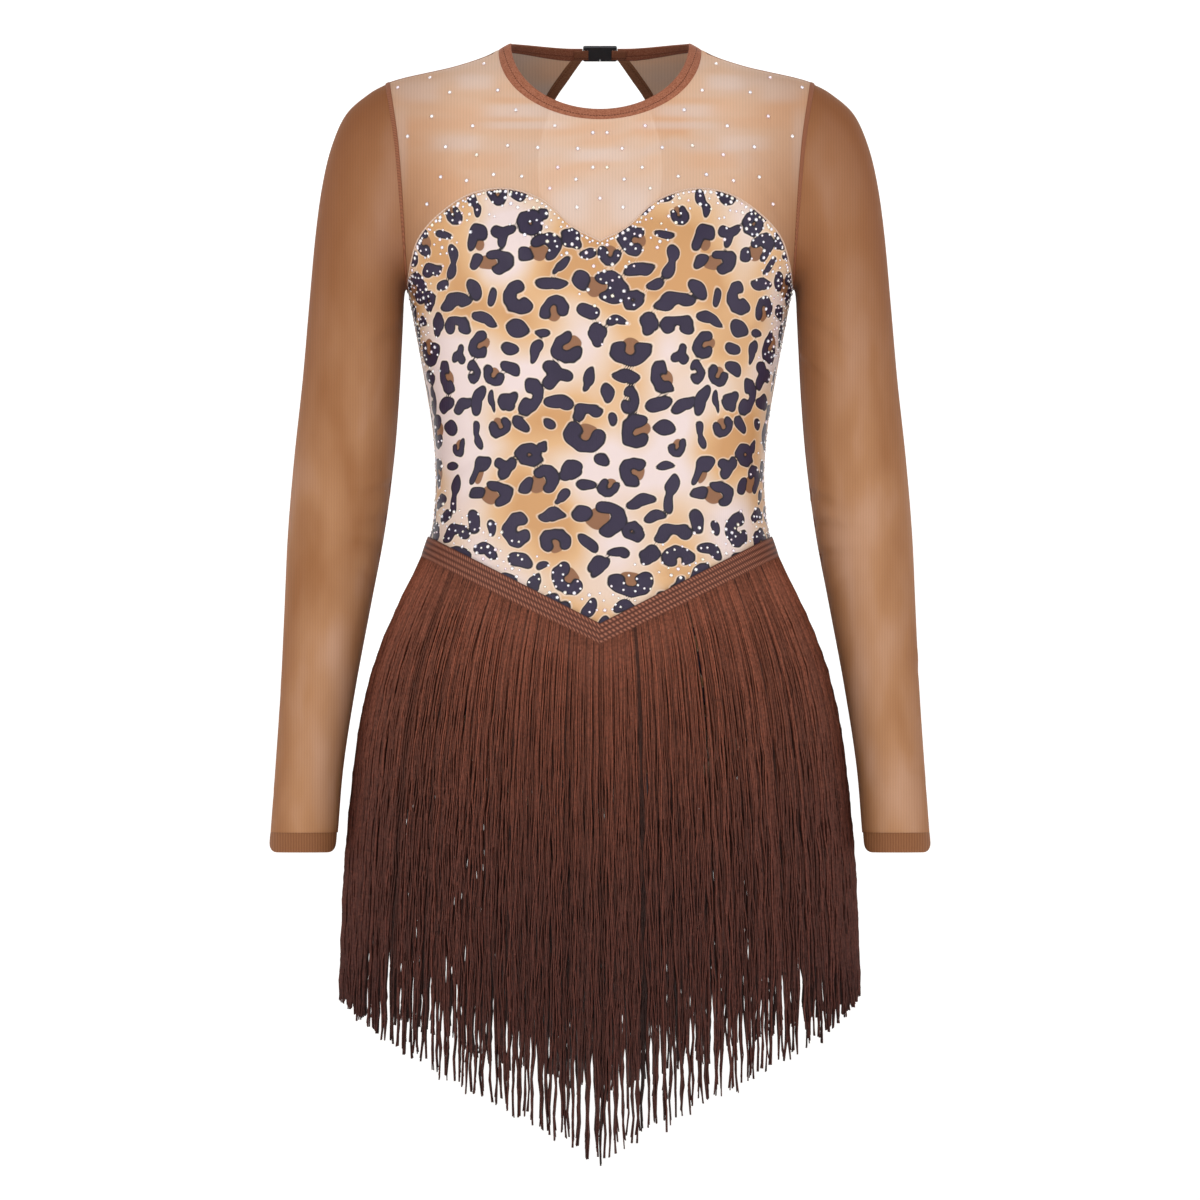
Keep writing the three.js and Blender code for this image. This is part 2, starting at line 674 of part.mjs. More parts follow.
// One half of the clasp: a rounded plate with the slot that the tape end passes through.
function claspHalf(mirror) {
  const { half, height, thick, corner } = CLASP;
  const slot = CLASP_SLOT;
  const [x0, x1, y0, y1] = [SEAM_GAP / 2, half, -height / 2, height / 2];
  const outline = new THREE.Shape();
  outline.moveTo(x0, y0);
  outline.lineTo(x1 - corner, y0);
  outline.quadraticCurveTo(x1, y0, x1, y0 + corner);
  outline.lineTo(x1, y1 - corner);
  outline.quadraticCurveTo(x1, y1, x1 - corner, y1);
  outline.lineTo(x0, y1);
  outline.closePath();
  const hole = new THREE.Path();
  hole.moveTo(slot.x, -slot.tall / 2);
  hole.lineTo(slot.x, slot.tall / 2);
  hole.lineTo(slot.x + slot.wide, slot.tall / 2);
  hole.lineTo(slot.x + slot.wide, -slot.tall / 2);
  hole.closePath();
  outline.holes.push(hole);
  const made = new THREE.ExtrudeGeometry(outline, { depth: thick, bevelEnabled: false, curveSegments: 4 });
  made.translate(0, 0, -thick / 2);
  if (mirror < 0) made.rotateY(Math.PI);
  return made;
}

const FABRICS = {
  leopard: { color: 0xe2b98c, roughness: 0.5 },
  sheer: { color: 0xb98660, roughness: 0.8 },
  binding: { color: 0x9a5f47, roughness: 0.75 },
  fringe: { color: 0x5b2f24, roughness: 0.6 },
  plastic: { color: 0x17171b, roughness: 0.4 },
};

const bodysuit = new THREE.Group();

function add(name, geometry, fabric) {
  const material = new THREE.MeshStandardMaterial({ ...FABRICS[fabric], metalness: 0 });
  const mesh = new THREE.Mesh(geometry, material);
  mesh.name = name;
  bodysuit.add(mesh);
  return mesh;
}

add("front_bodice", bodice(FRONT), "leopard");
add("back_bodice", bodice(BACK), "leopard");
add("front_yoke", frontYoke(), "sheer");
add("back_yoke", backYoke(), "sheer");
add("neck_binding", neckBinding(), "binding");
add("keyhole_binding", keyholeBinding(), "binding");
for (const [suffix, mirror] of [
  ["left", 1],
  ["right", -1],
]) {
  add(`sleeve_${suffix}`, sleeve(mirror), "sheer");
  add(`cuff_${suffix}`, cuff(mirror), "sheer");
  const half = add(`clasp_${suffix}`, claspHalf(mirror), "plastic");
  const { point, normal } = skin(0, CLASP.z, BACK);
  half.position.copy(point);
  half.rotation.x = Math.PI / 2 + Math.asin(normal.z);
}
add("fringe_front", fringe(FRONT), "fringe");
add("fringe_back", fringe(BACK), "fringe");

export default bodysuit;
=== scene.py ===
# The looks of a sheer-sleeved leopard stage bodysuit with crystals and a long fringe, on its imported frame.
import math
from collections import namedtuple

import bmesh
import bpy
import numpy as np
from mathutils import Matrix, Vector


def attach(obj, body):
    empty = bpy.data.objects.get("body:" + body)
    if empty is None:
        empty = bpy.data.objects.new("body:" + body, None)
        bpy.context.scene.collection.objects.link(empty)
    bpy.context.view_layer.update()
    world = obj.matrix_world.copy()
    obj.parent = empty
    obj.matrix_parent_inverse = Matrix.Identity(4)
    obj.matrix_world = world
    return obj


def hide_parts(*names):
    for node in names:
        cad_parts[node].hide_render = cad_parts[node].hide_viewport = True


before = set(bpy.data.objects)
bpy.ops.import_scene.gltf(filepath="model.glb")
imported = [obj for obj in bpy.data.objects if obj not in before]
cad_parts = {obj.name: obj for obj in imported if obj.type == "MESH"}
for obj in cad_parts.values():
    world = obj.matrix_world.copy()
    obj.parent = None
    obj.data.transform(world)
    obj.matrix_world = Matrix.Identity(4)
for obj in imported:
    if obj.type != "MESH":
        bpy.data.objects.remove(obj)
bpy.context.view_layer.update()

# Tables and sizes are in millimetres, as a pattern cutter's are. Each mesh is turned to metres as it is made.
MM = 0.001
FRONT = -1
BACK = 1

# Cloth thicknesses and the gap left at every seam.
SATIN_THICK = 0.8
HEM_THICK = 2.0
SEAM_GAP = 0.3

# The trunk's sections from the shoulders to the crotch: half width, and depth before and behind the sides.
FULLNESS = 2.25  # exponent of each section's oval
TRUNK = {
    "z": (8, 1, -4, -8, -13, -18, -22, -26, -30, -38, -48, -60, -90, -120, -150, -170, -190, -220, -260, -300,
          -332, -363, -385, -420, -450, -480, -510, -540, -601),
    "half": (61, 69.5, 78, 86, 100, 117, 135, 153, 165.5, 179, 187, 191, 187, 179, 167, 158, 150.5, 144.5,
             137, 130.5, 128, 129, 132.5, 145, 157, 168, 175, 178, 178),
    "front": (22, 26, 30, 34, 39, 44, 48, 51, 54, 59, 65, 72, 87, 99, 107, 110, 109, 104, 97, 91, 88, 89, 92,
              97, 101, 103, 103, 100, 92),
    "back": (41, 44.5, 47, 49.5, 53, 57, 60, 63, 66, 71, 76, 81, 89, 93, 95, 96, 95.5, 93, 88, 83.5, 81, 84,
             91, 101, 110, 117, 121, 121, 110),
}
CUP = {"rise": 15, "x": 72, "z": -174, "wide": 44, "tall": 50}
CROTCH = {"z": -601, "from": -530, "half": 34, "power": 2.2}
LEG = {"top": -472, FRONT: 1.7, BACK: 1.25}  # the leg opening's top, and how it curves in before and behind
LEG_ROWS_FROM = -505  # where the centre line's rows reach the leg openings
ROW_CROWDING = 1.3  # how closely the rows above them crowd downwards
FACE_GRID = (300, 290)  # columns and rows of the satin's printed face, fine enough for the spots' edges
REVERSE_GRID = (90, 90)
SIDE_SHARE = 2 / 3  # how much of the bodice's rows run down the side seam
ARMPIT = -190
SHOULDER_TIP = -30

ARMHOLE = {"z": (-30, -72, -109, -138, -165, -190), "x": (165.5, 159, 155.7, 153.7, 152, 150.5)}

# The bodice's top edge, from the centre front up over the cup to the armpit.
SWEETHEART = {
    "x": (0, 21, 42, 62, 82, 104, 126, 141, 147.5, 150.5),
    "z": (-155, -144, -125, -116, -114, -119.5, -134.5, -152, -172, -190),
}
BACK_TOP = {"centre": -198, "side": -190}

# Neckline: quarter ovals for the front, near-straight edges for the back, which ends at the clasp.
NECK_EDGE = {"x": 69.5, "z": 1, "drop": 52.5, "back_x": 19.5, "back_z": -1.6}
NECK_SEAM = {"x": 78, "z": -4, "drop": 54.3, "back_x": 20.5, "back_z": -9.9}
CLASP_EDGE = 13.7
KEYHOLE = {
    "x": (13.7, 23.5, 36.7, 46, 49, 45, 29, 0),
    "z": (-10.2, -24, -43.7, -70, -95, -120, -144, -155),
}
KEYHOLE_BINDING = 6.5
NECK_SHARE = 0.7  # how much of a yoke's top edge is neckline, before its shoulder seam
KEYHOLE_SHARE = 9 / 11  # how much of the back yoke's centre edge is keyhole

# Sleeve sections: outer and inner points seen from the front, half the depth, and the arm's forward bend.
SLEEVE = {
    "out_x": (165.5, 180, 198, 209.5, 217, 222.5, 227.5, 232.5, 239, 244, 246.6, 249.5, 253.5, 257.2),
    "out_z": (-30, -38, -54, -79, -110, -150, -205, -262, -322, -382, -440, -503, -564, -615),
    "in_x": (150.5, 152.2, 153, 153.4, 153.8, 154.5, 155.6, 157.6, 161.5, 169, 179.5, 191, 200.5, 205),
    "in_z": (-190, -192, -196, -201, -209, -222, -242, -278, -325, -382, -438, -500, -562, -615),
    "depth": (51, 51, 50.5, 50, 49, 47.5, 46, 44, 42, 40, 37.5, 34.5, 31.5, 29),
    "y": (-3, -3, -3, -3, -3, -3, -2, 0, 1, -1, -5, -11, -18, -24),
}
CUFF = {"out_x": 258.2, "out_z": -630.5, "in_x": 206, "in_z": -630.5, "depth": 28.5, "y": -26}
CUFF_CORNER = 5.5  # how far the cuff's lower edge turns up at each fold
CUFF_LAP = 1.5  # how far the folded hem reaches up inside the sleeve
CAP_FADE = (1, 0.75, 0.5, 0.28, 0.12, 0)  # how far each section keeps the armhole's own shape
SLEEVE_END = len(SLEEVE["y"]) - 1
ARM_RADIUS = 34

# Fringe: its tape lies along a V, and the strands hang on an outline of their own.
TAPE = {"apex": -452, "rise": 0.51, "width": 17, "near": 0.9, "far": 2.5}
FRINGE = {
    "z": (-383, -400, -420, -450, -480, -512, -545, -620, -700, -746, -880),
    "half": (134.5, 139.5, 148.6, 162.5, 174.3, 183, 189, 197, 202, 204, 206),
    "front": (94.5, 97, 100, 104.5, 107.5, 110, 112, 115, 117, 118, 121),
    "back": (93.5, 98.5, 105, 114, 121.5, 126.5, 129.5, 132, 134, 135, 137),
}
HEM = {
    FRONT: {"centre": -869, "slope": 105, "corner": 20},
    BACK: {"centre": -826, "slope": 74, "corner": 8},
}


def mix(a, b, share):
    return a + (b - a) * share


def smooth(share):
    share = np.clip(share, 0, 1)
    return share * share * (3 - 2 * share)


def rounded(share):
    return (1 - np.cos(np.pi * share)) / 2


def crowded(share, power):
    return 1 - (1 - share) ** power


def unit(vectors):
    return vectors / np.maximum(np.linalg.norm(vectors, axis=-1, keepdims=True), 1e-12)


def through(places, values, at):
    """A smooth curve through values at their places, which rise or fall steadily."""
    places, values, at = np.array(places, float), np.array(values, float), np.asarray(at, float)
    if places[0] > places[-1]:
        places, at = -places, -at
    last = len(places) - 1
    before, after = np.maximum(np.arange(last + 1) - 1, 0), np.minimum(np.arange(last + 1) + 1, last)
    slopes = (values[after] - values[before]) / (places[after] - places[before])
    k = np.clip(np.searchsorted(places, at, side="right") - 1, 0, last - 1)
    span = places[k + 1] - places[k]
    s = np.clip((at - places[k]) / span, 0, 1)
    return (
        (2 * s**3 - 3 * s**2 + 1) * values[k]
        + (s**3 - 2 * s**2 + s) * span * slopes[k]
        + (3 * s**2 - 2 * s**3) * values[k + 1]
        + (s**3 - s**2) * span * slopes[k + 1]
    )


def half_width(z):
    return through(TRUNK["z"], TRUNK["half"], z)


def trunk_depth(x, z, side):
    down = np.clip((CROTCH["from"] - z) / (CROTCH["from"] - CROTCH["z"]), 0, 1)
    openness = (1 - down ** CROTCH["power"]) ** (1 / CROTCH["power"])
    plain = through(TRUNK["z"], TRUNK["front" if side == FRONT else "back"], z) * openness
    if side == BACK:
        return plain
    across = (np.abs(x) - CUP["x"]) / CUP["wide"]
    along = (z - CUP["z"]) / CUP["tall"]
    return plain + CUP["rise"] * np.exp(-(across**2) - along**2)


def skin(x, z, side):
    """Points of the trunk's outer surface over (x, z), with their outward normals."""
    step = 0.05
    half = half_width(z)
    ratio = np.minimum(1, np.abs(x) / half)
    reach = (1 - ratio**FULLNESS) ** (1 / FULLNESS)
    deep = trunk_depth(x, z, side)
    half_slope = (half_width(z + step) - half_width(z - step)) / (2 * step)
    deep_slope = (trunk_depth(x, z + step, side) - trunk_depth(x, z - step, side)) / (2 * step)
    deep_across = (trunk_depth(x + step, z, side) - trunk_depth(x - step, z, side)) / (2 * step)
    share = reach**FULLNESS
    normals = np.stack([
        np.sign(x) * ratio ** (FULLNESS - 1) * deep / half - share * deep_across,
        side * reach ** (FULLNESS - 1),
        -(ratio**FULLNESS) * deep * half_slope / half - share * deep_slope,
    ], axis=-1)
    points = np.stack([x, side * (deep * reach + SEAM_GAP / 2), z], axis=-1)
    return points, unit(normals)


def skin_round(turn, z, side):
    """The same surface by the angle round the trunk: 0 at the centre, 1 and -1 at the side seams."""
    return skin(half_width(z) * np.sin(turn * np.pi / 2), z, side)


def turn_of(x, z):
    return np.arcsin(np.minimum(1, np.abs(x) / half_width(z))) / (np.pi / 2)


def girth(turn, z, side):
    """The distance round the trunk from its centre line, which is how the cloth was cut."""
    steps = 20
    total = np.zeros_like(turn)
    here = skin_round(0 * turn, z, side)[0]
    for k in range(1, steps + 1):
        before, here = here, skin_round(turn * k / steps, z, side)[0]
        total += np.linalg.norm(here - before, axis=-1)
    return np.sign(turn) * total


def curve_of(table, sideways=0):
    """A smooth plane curve through a table of x and z, evenly spaced by length and moved sideways."""
    knots = np.array([table["x"], table["z"]], float).T
    times = np.concatenate([[0], np.cumsum(np.linalg.norm(np.diff(knots, axis=0), axis=1) ** 0.5)])
    fine = np.linspace(0, times[-1], 400)
    line = np.stack([through(times, knots[:, k], fine) for k in (0, 1)], axis=1)
    length = np.concatenate([[0], np.cumsum(np.linalg.norm(np.diff(line, axis=0), axis=1))])
    tangent = unit(np.gradient(line, axis=0))
    x = line[:, 0] - sideways * tangent[:, 1]
    z = line[:, 1] + sideways * tangent[:, 0]
    return lambda share: (np.interp(share, length / length[-1], x), np.interp(share, length / length[-1], z))


def mirrored_curve(table, sideways=0):
    """The curve through a table of points and their mirror images, over its first half."""
    whole = {
        "x": (*table["x"], *(-x for x in table["x"][-2::-1])),
        "z": (*table["z"], *table["z"][-2::-1]),
    }
    curve = curve_of(whole, sideways)
    return lambda share: curve(share / 2)


def patch(c, t, top, bottom, left, right):
    """A four-sided patch between its edge curves, each giving two numbers over a share from 0 to 1."""
    zero, one = np.zeros_like(c), np.ones_like(c)
    corners = [top(zero), top(one), bottom(zero), bottom(one)]
    return [
        mix(top(c)[k], bottom(c)[k], t)
        + mix(left(t)[k], right(t)[k], c)
        - mix(mix(corners[0][k], corners[1][k], c), mix(corners[2][k], corners[3][k], c), t)
        for k in (0, 1)
    ]


# Soft creases: the middle of each, its direction in degrees, and half its length and width.
# A trough of the given depth has a low ridge beside it. The places are seen from the front, or from behind.
Crease = namedtuple("Crease", "x z angle long wide deep")
BODICE_CREASES = {
    FRONT: [
        (39, -424, 6, 24, 4.5, 1.0), (-96, -322, 24, 30, 6, 1.1), (-88, -346, 14, 34, 6, 0.9),
        (99, -338, -20, 32, 6, 1.0), (86, -366, -10, 28, 5, 0.8), (-128, -212, -38, 20, 4.5, 1.0),
        (131, -216, 36, 22, 4.5, 1.1), (4, -214, 2, 24, 8, 1.0), (-46, -396, -14, 30, 6, 0.7),
    ],
    BACK: [
        (6, -331, 0, 70, 7, 1.9), (-22, -353, 4, 58, 7, 1.6), (30, -309, -4, 52, 7, 1.5),
        (-88, -292, 26, 34, 6, 1.2), (92, -286, -24, 32, 6, 1.2), (-118, -214, -30, 20, 4.5, 1.0),
        (121, -209, 32, 22, 4.5, 1.0), (58, -398, 12, 36, 6, 0.9),
    ],
}
YOKE_CREASES = {
    FRONT: [
        (-84, -56, -3, 42, 6, 0.9), (86, -57, 3, 40, 6, 0.8), (-134, -128, 58, 26, 4.5, 0.9),
        (136, -124, -60, 28, 4.5, 1.0), (-118, -98, 44, 24, 5, 0.6),
    ],
    BACK: [
        (-126, -130, 56, 28, 5, 1.1), (128, -136, -58, 26, 5, 1.1), (-84, -168, 20, 34, 6, 0.9),
        (78, -172, -16, 36, 6, 0.8), (-100, -70, -30, 30, 6, 0.7), (104, -64, 30, 30, 6, 0.7),
    ],
}
# The sleeves' creases by the distance round from the outer side: about 53 is the front, 107 the inner side.
SLEEVE_CREASES = {
    "left": [
        (92, -352, 18, 22, 4, 1.5), (84, -374, 8, 26, 4, 1.7), (90, -397, -8, 24, 4, 1.5),
        (78, -421, -20, 22, 4, 1.1), (-96, -362, 14, 24, 5, 1.4), (-88, -392, -10, 26, 5, 1.4),
        (70, -226, 40, 26, 5, 1.2), (88, -252, 30, 22, 4, 1.0), (-76, -238, 34, 26, 5, 1.2),
        (30, -566, 12, 22, 3.5, 0.9), (54, -584, -10, 24, 3.5, 1.0), (-40, -578, 8, 26, 3.5, 0.9),
        (20, -478, 24, 24, 5, 0.7),
    ],
    "right": [
        (88, -346, 14, 24, 4, 1.6), (92, -370, 4, 24, 4, 1.4), (80, -390, -12, 26, 4, 1.7),
        (86, -414, -24, 20, 4, 1.2), (-90, -356, 10, 26, 5, 1.5), (-94, -386, -12, 24, 5, 1.2),
        (76, -232, 36, 26, 5, 1.1), (-80, -230, 32, 24, 5, 1.1), (-70, -256, 24, 22, 4, 0.9),
        (44, -560, 8, 24, 3.5, 0.9), (26, -588, -12, 22, 3.5, 1.0), (-50, -570, 10, 24, 3.5, 0.9),
        (34, -492, 20, 26, 5, 0.7),
    ],
}


CREASES_END = {"armhole": 14, "side": 1 / 12}  # how near they stay flat: in mm, and as a share of the turn


def relief(x, z, side, creases):
    """The creases' height on the trunk, faded out towards the armhole and the side seam."""
    to_armhole = (through(ARMHOLE["z"], ARMHOLE["x"], z) - np.abs(x)) / CREASES_END["armhole"]
    to_seam = (1 - turn_of(x, z)) / CREASES_END["side"]
    return creased(x, z, creases[side]) * np.clip(np.where(z > ARMPIT, to_armhole, to_seam), 0, 1)


def creased(x, z, creases):
    height = np.zeros_like(x)
    for crease in map(Crease._make, creases):
        lean = math.radians(crease.angle)
        along = (x - crease.x) * math.cos(lean) + (z - crease.z) * math.sin(lean)
        across = (z - crease.z) * math.cos(lean) - (x - crease.x) * math.sin(lean)
        across = across + along**2 / (9 * crease.long)
        fade = np.exp(-((along / crease.long) ** 2))
        trough = np.exp(-((across / crease.wide) ** 2))
        ridge = np.exp(-((across / crease.wide - 1.7) ** 2))
        height += crease.deep * fade * (0.7 * ridge - trough)
    return height


def new_mesh(made):
    mesh = bpy.data.meshes.new("cloth")
    made.to_mesh(mesh)
    made.free()
    return mesh


def marked(mesh, marks, shape):
    """Stores each mark's values on the mesh's points, for the materials to read."""
    for mark, values in marks.items():
        attribute = mesh.attributes.new(mark, "FLOAT", "POINT")
        attribute.data.foreach_set("value", np.broadcast_to(values, shape).astype(np.float32).ravel())
    mesh.update()


def corners_of(mesh):
    corners = np.empty(3 * len(mesh.vertices), np.float32)
    mesh.vertices.foreach_get("co", corners)
    return corners.reshape(-1, 3).astype(float)


def moved_grid(columns, rows, surface):
    """A sheet of squares moved onto a surface, which gives points, normals, places on the cut, and marks."""
    sheet = bmesh.new()
    bmesh.ops.create_grid(sheet, x_segments=columns, y_segments=rows, size=0.5)
    mesh = new_mesh(sheet)
    flat = corners_of(mesh)
    low, high = flat.min(axis=0), flat.max(axis=0)
    c = np.clip((flat[:, 0] - low[0]) / (high[0] - low[0]), 0, 1)
    t = np.clip((high[1] - flat[:, 1]) / (high[1] - low[1]), 0, 1)
    points, normals, cut, marks = surface(c, t)
    mesh.vertices.foreach_set("co", (points * MM).astype(np.float32).ravel())
    corner = np.empty(len(mesh.loops), np.int32)
    mesh.loops.foreach_get("vertex_index", corner)
    places = (np.stack(cut, axis=1)[corner] * MM).astype(np.float32)
    mesh.uv_layers.new(name="cut").uv.foreach_set("vector", places.ravel())
    marked(mesh, marks, c.shape)
    facing = np.empty(3 * len(mesh.polygons), np.float32)
    mesh.polygons.foreach_get("normal", facing)
    first = corner[:: len(mesh.loops) // len(mesh.polygons)]
    if (facing.reshape(-1, 3) * normals[first]).sum() < 0:
        mesh.flip_normals()
    return mesh


def closed_up(mesh):
    """Joins the meeting edges of a grid that was rolled up into a tube."""
    made = bmesh.new()
    made.from_mesh(mesh)
    bmesh.ops.remove_doubles(made, verts=made.verts, dist=0.01 * MM)
    return made


def piece(name, mesh, material, replaces=None):
    mesh.name = name
    mesh.materials.append(material)
    mesh.shade_smooth()
    thing = bpy.data.objects.new(name, mesh)
    bpy.context.scene.collection.objects.link(thing)
    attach(thing, "root")
    if replaces:
        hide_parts(replaces)
    return thing


SQUARENESS = 0.6  # how square a strip's section is: 1 is an oval


def signed_power(value, power):
    return np.sign(value) * np.abs(value) ** power


def strip(steps, edges, thick, around, lift=0.0, closed=False):
    """A soft closed strip between two edges, which give their upper and lower points and their normals."""
    share = np.linspace(0, 1, 200)
    upper, lower, _ = edges(share)
    length = np.linalg.norm(np.diff(mix(upper, lower, 0.5), axis=0), axis=1).sum()

    def surface(c, t):
        upper, lower, normals = edges(c)
        angle = 2 * np.pi * t
        across = 0.5 - 0.5 * signed_power(np.cos(angle), SQUARENESS)
        out = signed_power(np.sin(angle), SQUARENESS) * thick / 2 + lift
        points = mix(upper, lower, across[:, None]) + normals * out[:, None]
        width = np.linalg.norm(upper - lower, axis=1)
        return points, normals * np.sign(np.sin(angle))[:, None], (c * length, across * width), {}

    rolled = closed_up(moved_grid(steps, around, surface))
    if not closed:
        ends = [edge for edge in rolled.edges if edge.is_boundary]
        bmesh.ops.holes_fill(rolled, edges=ends, sides=0)
    bmesh.ops.recalc_face_normals(rolled, faces=rolled.faces)
    return new_mesh(rolled)


def beside(path, wide):
    """The two edges of a narrow strip along a path, which gives points and normals."""
    def edges(c):
        points, normals = path(c)
        ahead = path(c + 0.002)[0] - path(c - 0.002)[0]
        sideways = unit(np.cross(unit(ahead), normals)) * wide / 2
        return points + sideways, points - sideways, normals

    return edges


# The print: one charted repeat of leopard spots. A kind is drawn in its own box, from -1 to 1: bones are
# lines with a half thickness, and a heart is the brown patch that lies in the spot's mouth.
REPEAT = 180
INK_SPREAD = 0.4  # how far the ink runs past each charted spot
PRINT_CENTRE = {"across": 105, "z": -140}  # where in the repeat the front's middle line is, and its top
PRINT_SHIFT = {FRONT: 0, BACK: 41}  # how far each side's cloth was laid from the other's place in the repeat


def arc(start, end, radius, thick):
    angles = np.radians(np.linspace(start, end, 7))
    ends = [(radius * math.cos(a), radius * math.sin(a)) for a in angles]
    return [(*a, *b, thick) for a, b in zip(ends, ends[1:])]


KINDS = {
    "oval": {"bones": [(-0.14, -0.04, 0.14, 0.04, 0.88)]},
    "bean": {"bones": [(-0.42, -0.26, 0, 0.22, 0.66), (0, 0.22, 0.42, -0.26, 0.66)]},
    "drop": {"bones": [(-0.7, 0, 0, 0, 0.42), (0.1, 0, 0.26, 0, 0.78)]},
    "blob": {"bones": [(-0.3, -0.2, 0.3, 0.25, 0.68), (-0.15, 0.35, 0.3, -0.35, 0.6)]},
    "tri": {"bones": [(0, 0, -0.45, 0.5, 0.5), (0, 0, -0.45, -0.5, 0.5), (0, 0, 0.56, 0, 0.46)]},
    "peanut": {"bones": [(0, 0.5, 0, 0.45, 0.55), (0, 0.5, 0.1, -0.5, 0.34), (0.1, -0.5, 0.12, -0.55, 0.5)]},
    "hook": {"bones": [(-0.35, -0.6, -0.25, 0.25, 0.4), (-0.2, 0.35, 0.45, 0.5, 0.5)],
             "heart": (0.35, -0.3, 0.45, 0.5)},
    "snake": {"bones": [(-0.65, -0.4, -0.25, 0.25, 0.42), (-0.25, 0.25, 0.3, 0.2, 0.5),
                        (0.3, 0.2, 0.66, -0.25, 0.44)]},
    "crescent": {"bones": arc(66, 294, 0.6, 0.4)},
    "c": {"bones": arc(66, 294, 0.64, 0.38), "heart": (0.24, 0, 0.6, 0.56)},
    "ring": {"bones": arc(24, 336, 0.62, 0.4), "heart": (0.24, 0, 0.6, 0.34)},
    "pair": {"bones": [(-0.68, -0.12, -0.6, 0.14, 0.36), *[(x0 * 0.7 + 0.42, y0, x1 * 0.7 + 0.42, y1, r)
                       for x0, y0, x1, y1, r in arc(-75, 120, 0.6, 0.34)]],
             "heart": (-0.02, -0.1, 0.48, 0.58)},
}
# Each spot's middle across and down the repeat, its kind, its turn in degrees, and half its length and width.
Spot = namedtuple("Spot", "across down kind turn long broad")
SPOTS = [
    (6, 13, "hook", -20, 9, 12), (30, 9, "tri", 25, 9.5, 9), (50, 1, "ring", 0, 11, 9.5),
    (16, 31, "pair", 0, 18, 10.5), (56, 22, "pair", 22, 16, 12), (82, 13.5, "blob", 10, 9, 8),
    (75, 34, "drop", 40, 7.5, 4.5), (95, 24, "oval", 4, 7.5, 4.2), (112, 26, "c", 70, 8, 9),
    (131, 14, "c", -10, 11.5, 11.5), (136, 36, "bean", 12, 11.5, 6), (156, 10, "oval", 0, 7.5, 3.4),
    (160, 31, "peanut", -15, 8.5, 14), (67, 47, "bean", -2, 11, 5.5), (103, 49, "pair", -14, 20, 14),
    (41, 59, "crescent", 18, 13, 13.5), (2, 53, "oval", -65, 9.5, 6.5), (19, 58, "oval", 88, 6.5, 4.2),
    (70, 68, "c", -90, 10.5, 11.5), (96, 69, "oval", -35, 9, 5.6), (131, 60, "ring", 0, 8.6, 8.2),
    (148, 49, "oval", 10, 7.6, 4.8), (163, 61, "snake", 8, 15, 9), (13, 75, "bean", -20, 11, 5.6),
    (41, 83, "oval", -20, 10, 6.8), (60, 86, "oval", 4, 5.6, 3.4), (119, 77, "bean", 0, 8, 4.4),
    (143, 79, "blob", 40, 8.2, 8), (166, 81, "crescent", -85, 9, 14), (103, 87, "blob", 60, 9, 7.4),
    (8, 96, "c", 8, 11, 10.6), (34, 98, "oval", -32, 7.2, 4.8), (54, 100, "bean", 70, 8.6, 4.8),
    (80, 98, "c", 38, 12, 13), (129, 100, "c", 92, 11, 17.5), (168, 102, "tri", 80, 7.4, 7.4),
    (71, 119, "tri", -8, 11.5, 11), (35, 114, "oval", -35, 9, 5.8), (19, 118, "c", 55, 8, 9.5),
    (1, 117, "crescent", 176, 6.5, 9.5), (96, 121, "drop", 66, 9.6, 5.6), (125, 119, "bean", -4, 9.6, 6),
    (154, 121, "c", 14, 10, 13), (50, 136, "crescent", 168, 10.5, 15.5),
    (110, 133, "oval", -75, 7.2, 5.2), (128, 138, "crescent", 174, 8, 12),
    (74, 139, "bean", -12, 11, 6.4), (6, 138, "bean", 68, 11, 6.4), (19, 139, "drop", 92, 8, 3.6),
    (32, 139, "blob", 0, 8, 7.6), (151, 142, "oval", 4, 10.4, 6.4), (171, 141, "bean", 32, 10, 5.8),
    (95, 147, "snake", 12, 12.5, 7.5), (115, 154, "oval", 88, 5.4, 3.6), (134, 162, "c", 8, 13, 13),
    (65, 156, "oval", -42, 5.8, 4.4), (93, 166, "c", 72, 12, 16), (42, 157, "oval", -52, 7.8, 5.8),
    (25, 158, "c", 118, 8.6, 8.8), (5, 166, "peanut", 16, 6.5, 11), (60, 174, "blob", 20, 5, 4.6),
    (155, 160, "oval", 0, 9, 5.8), (166, 174, "c", 112, 7.4, 7.4), (107, 4, "oval", -30, 6, 5),
]


def bone_distance(x, y, bone):
    x0, y0, x1, y1, thick = bone
    dx, dy = x1 - x0, y1 - y0
    along = np.clip(((x - x0) * dx + (y - y0) * dy) / max(dx * dx + dy * dy, 1e-9), 0, 1)
    return np.hypot(x - x0 - along * dx, y - y0 - along * dy) - thick


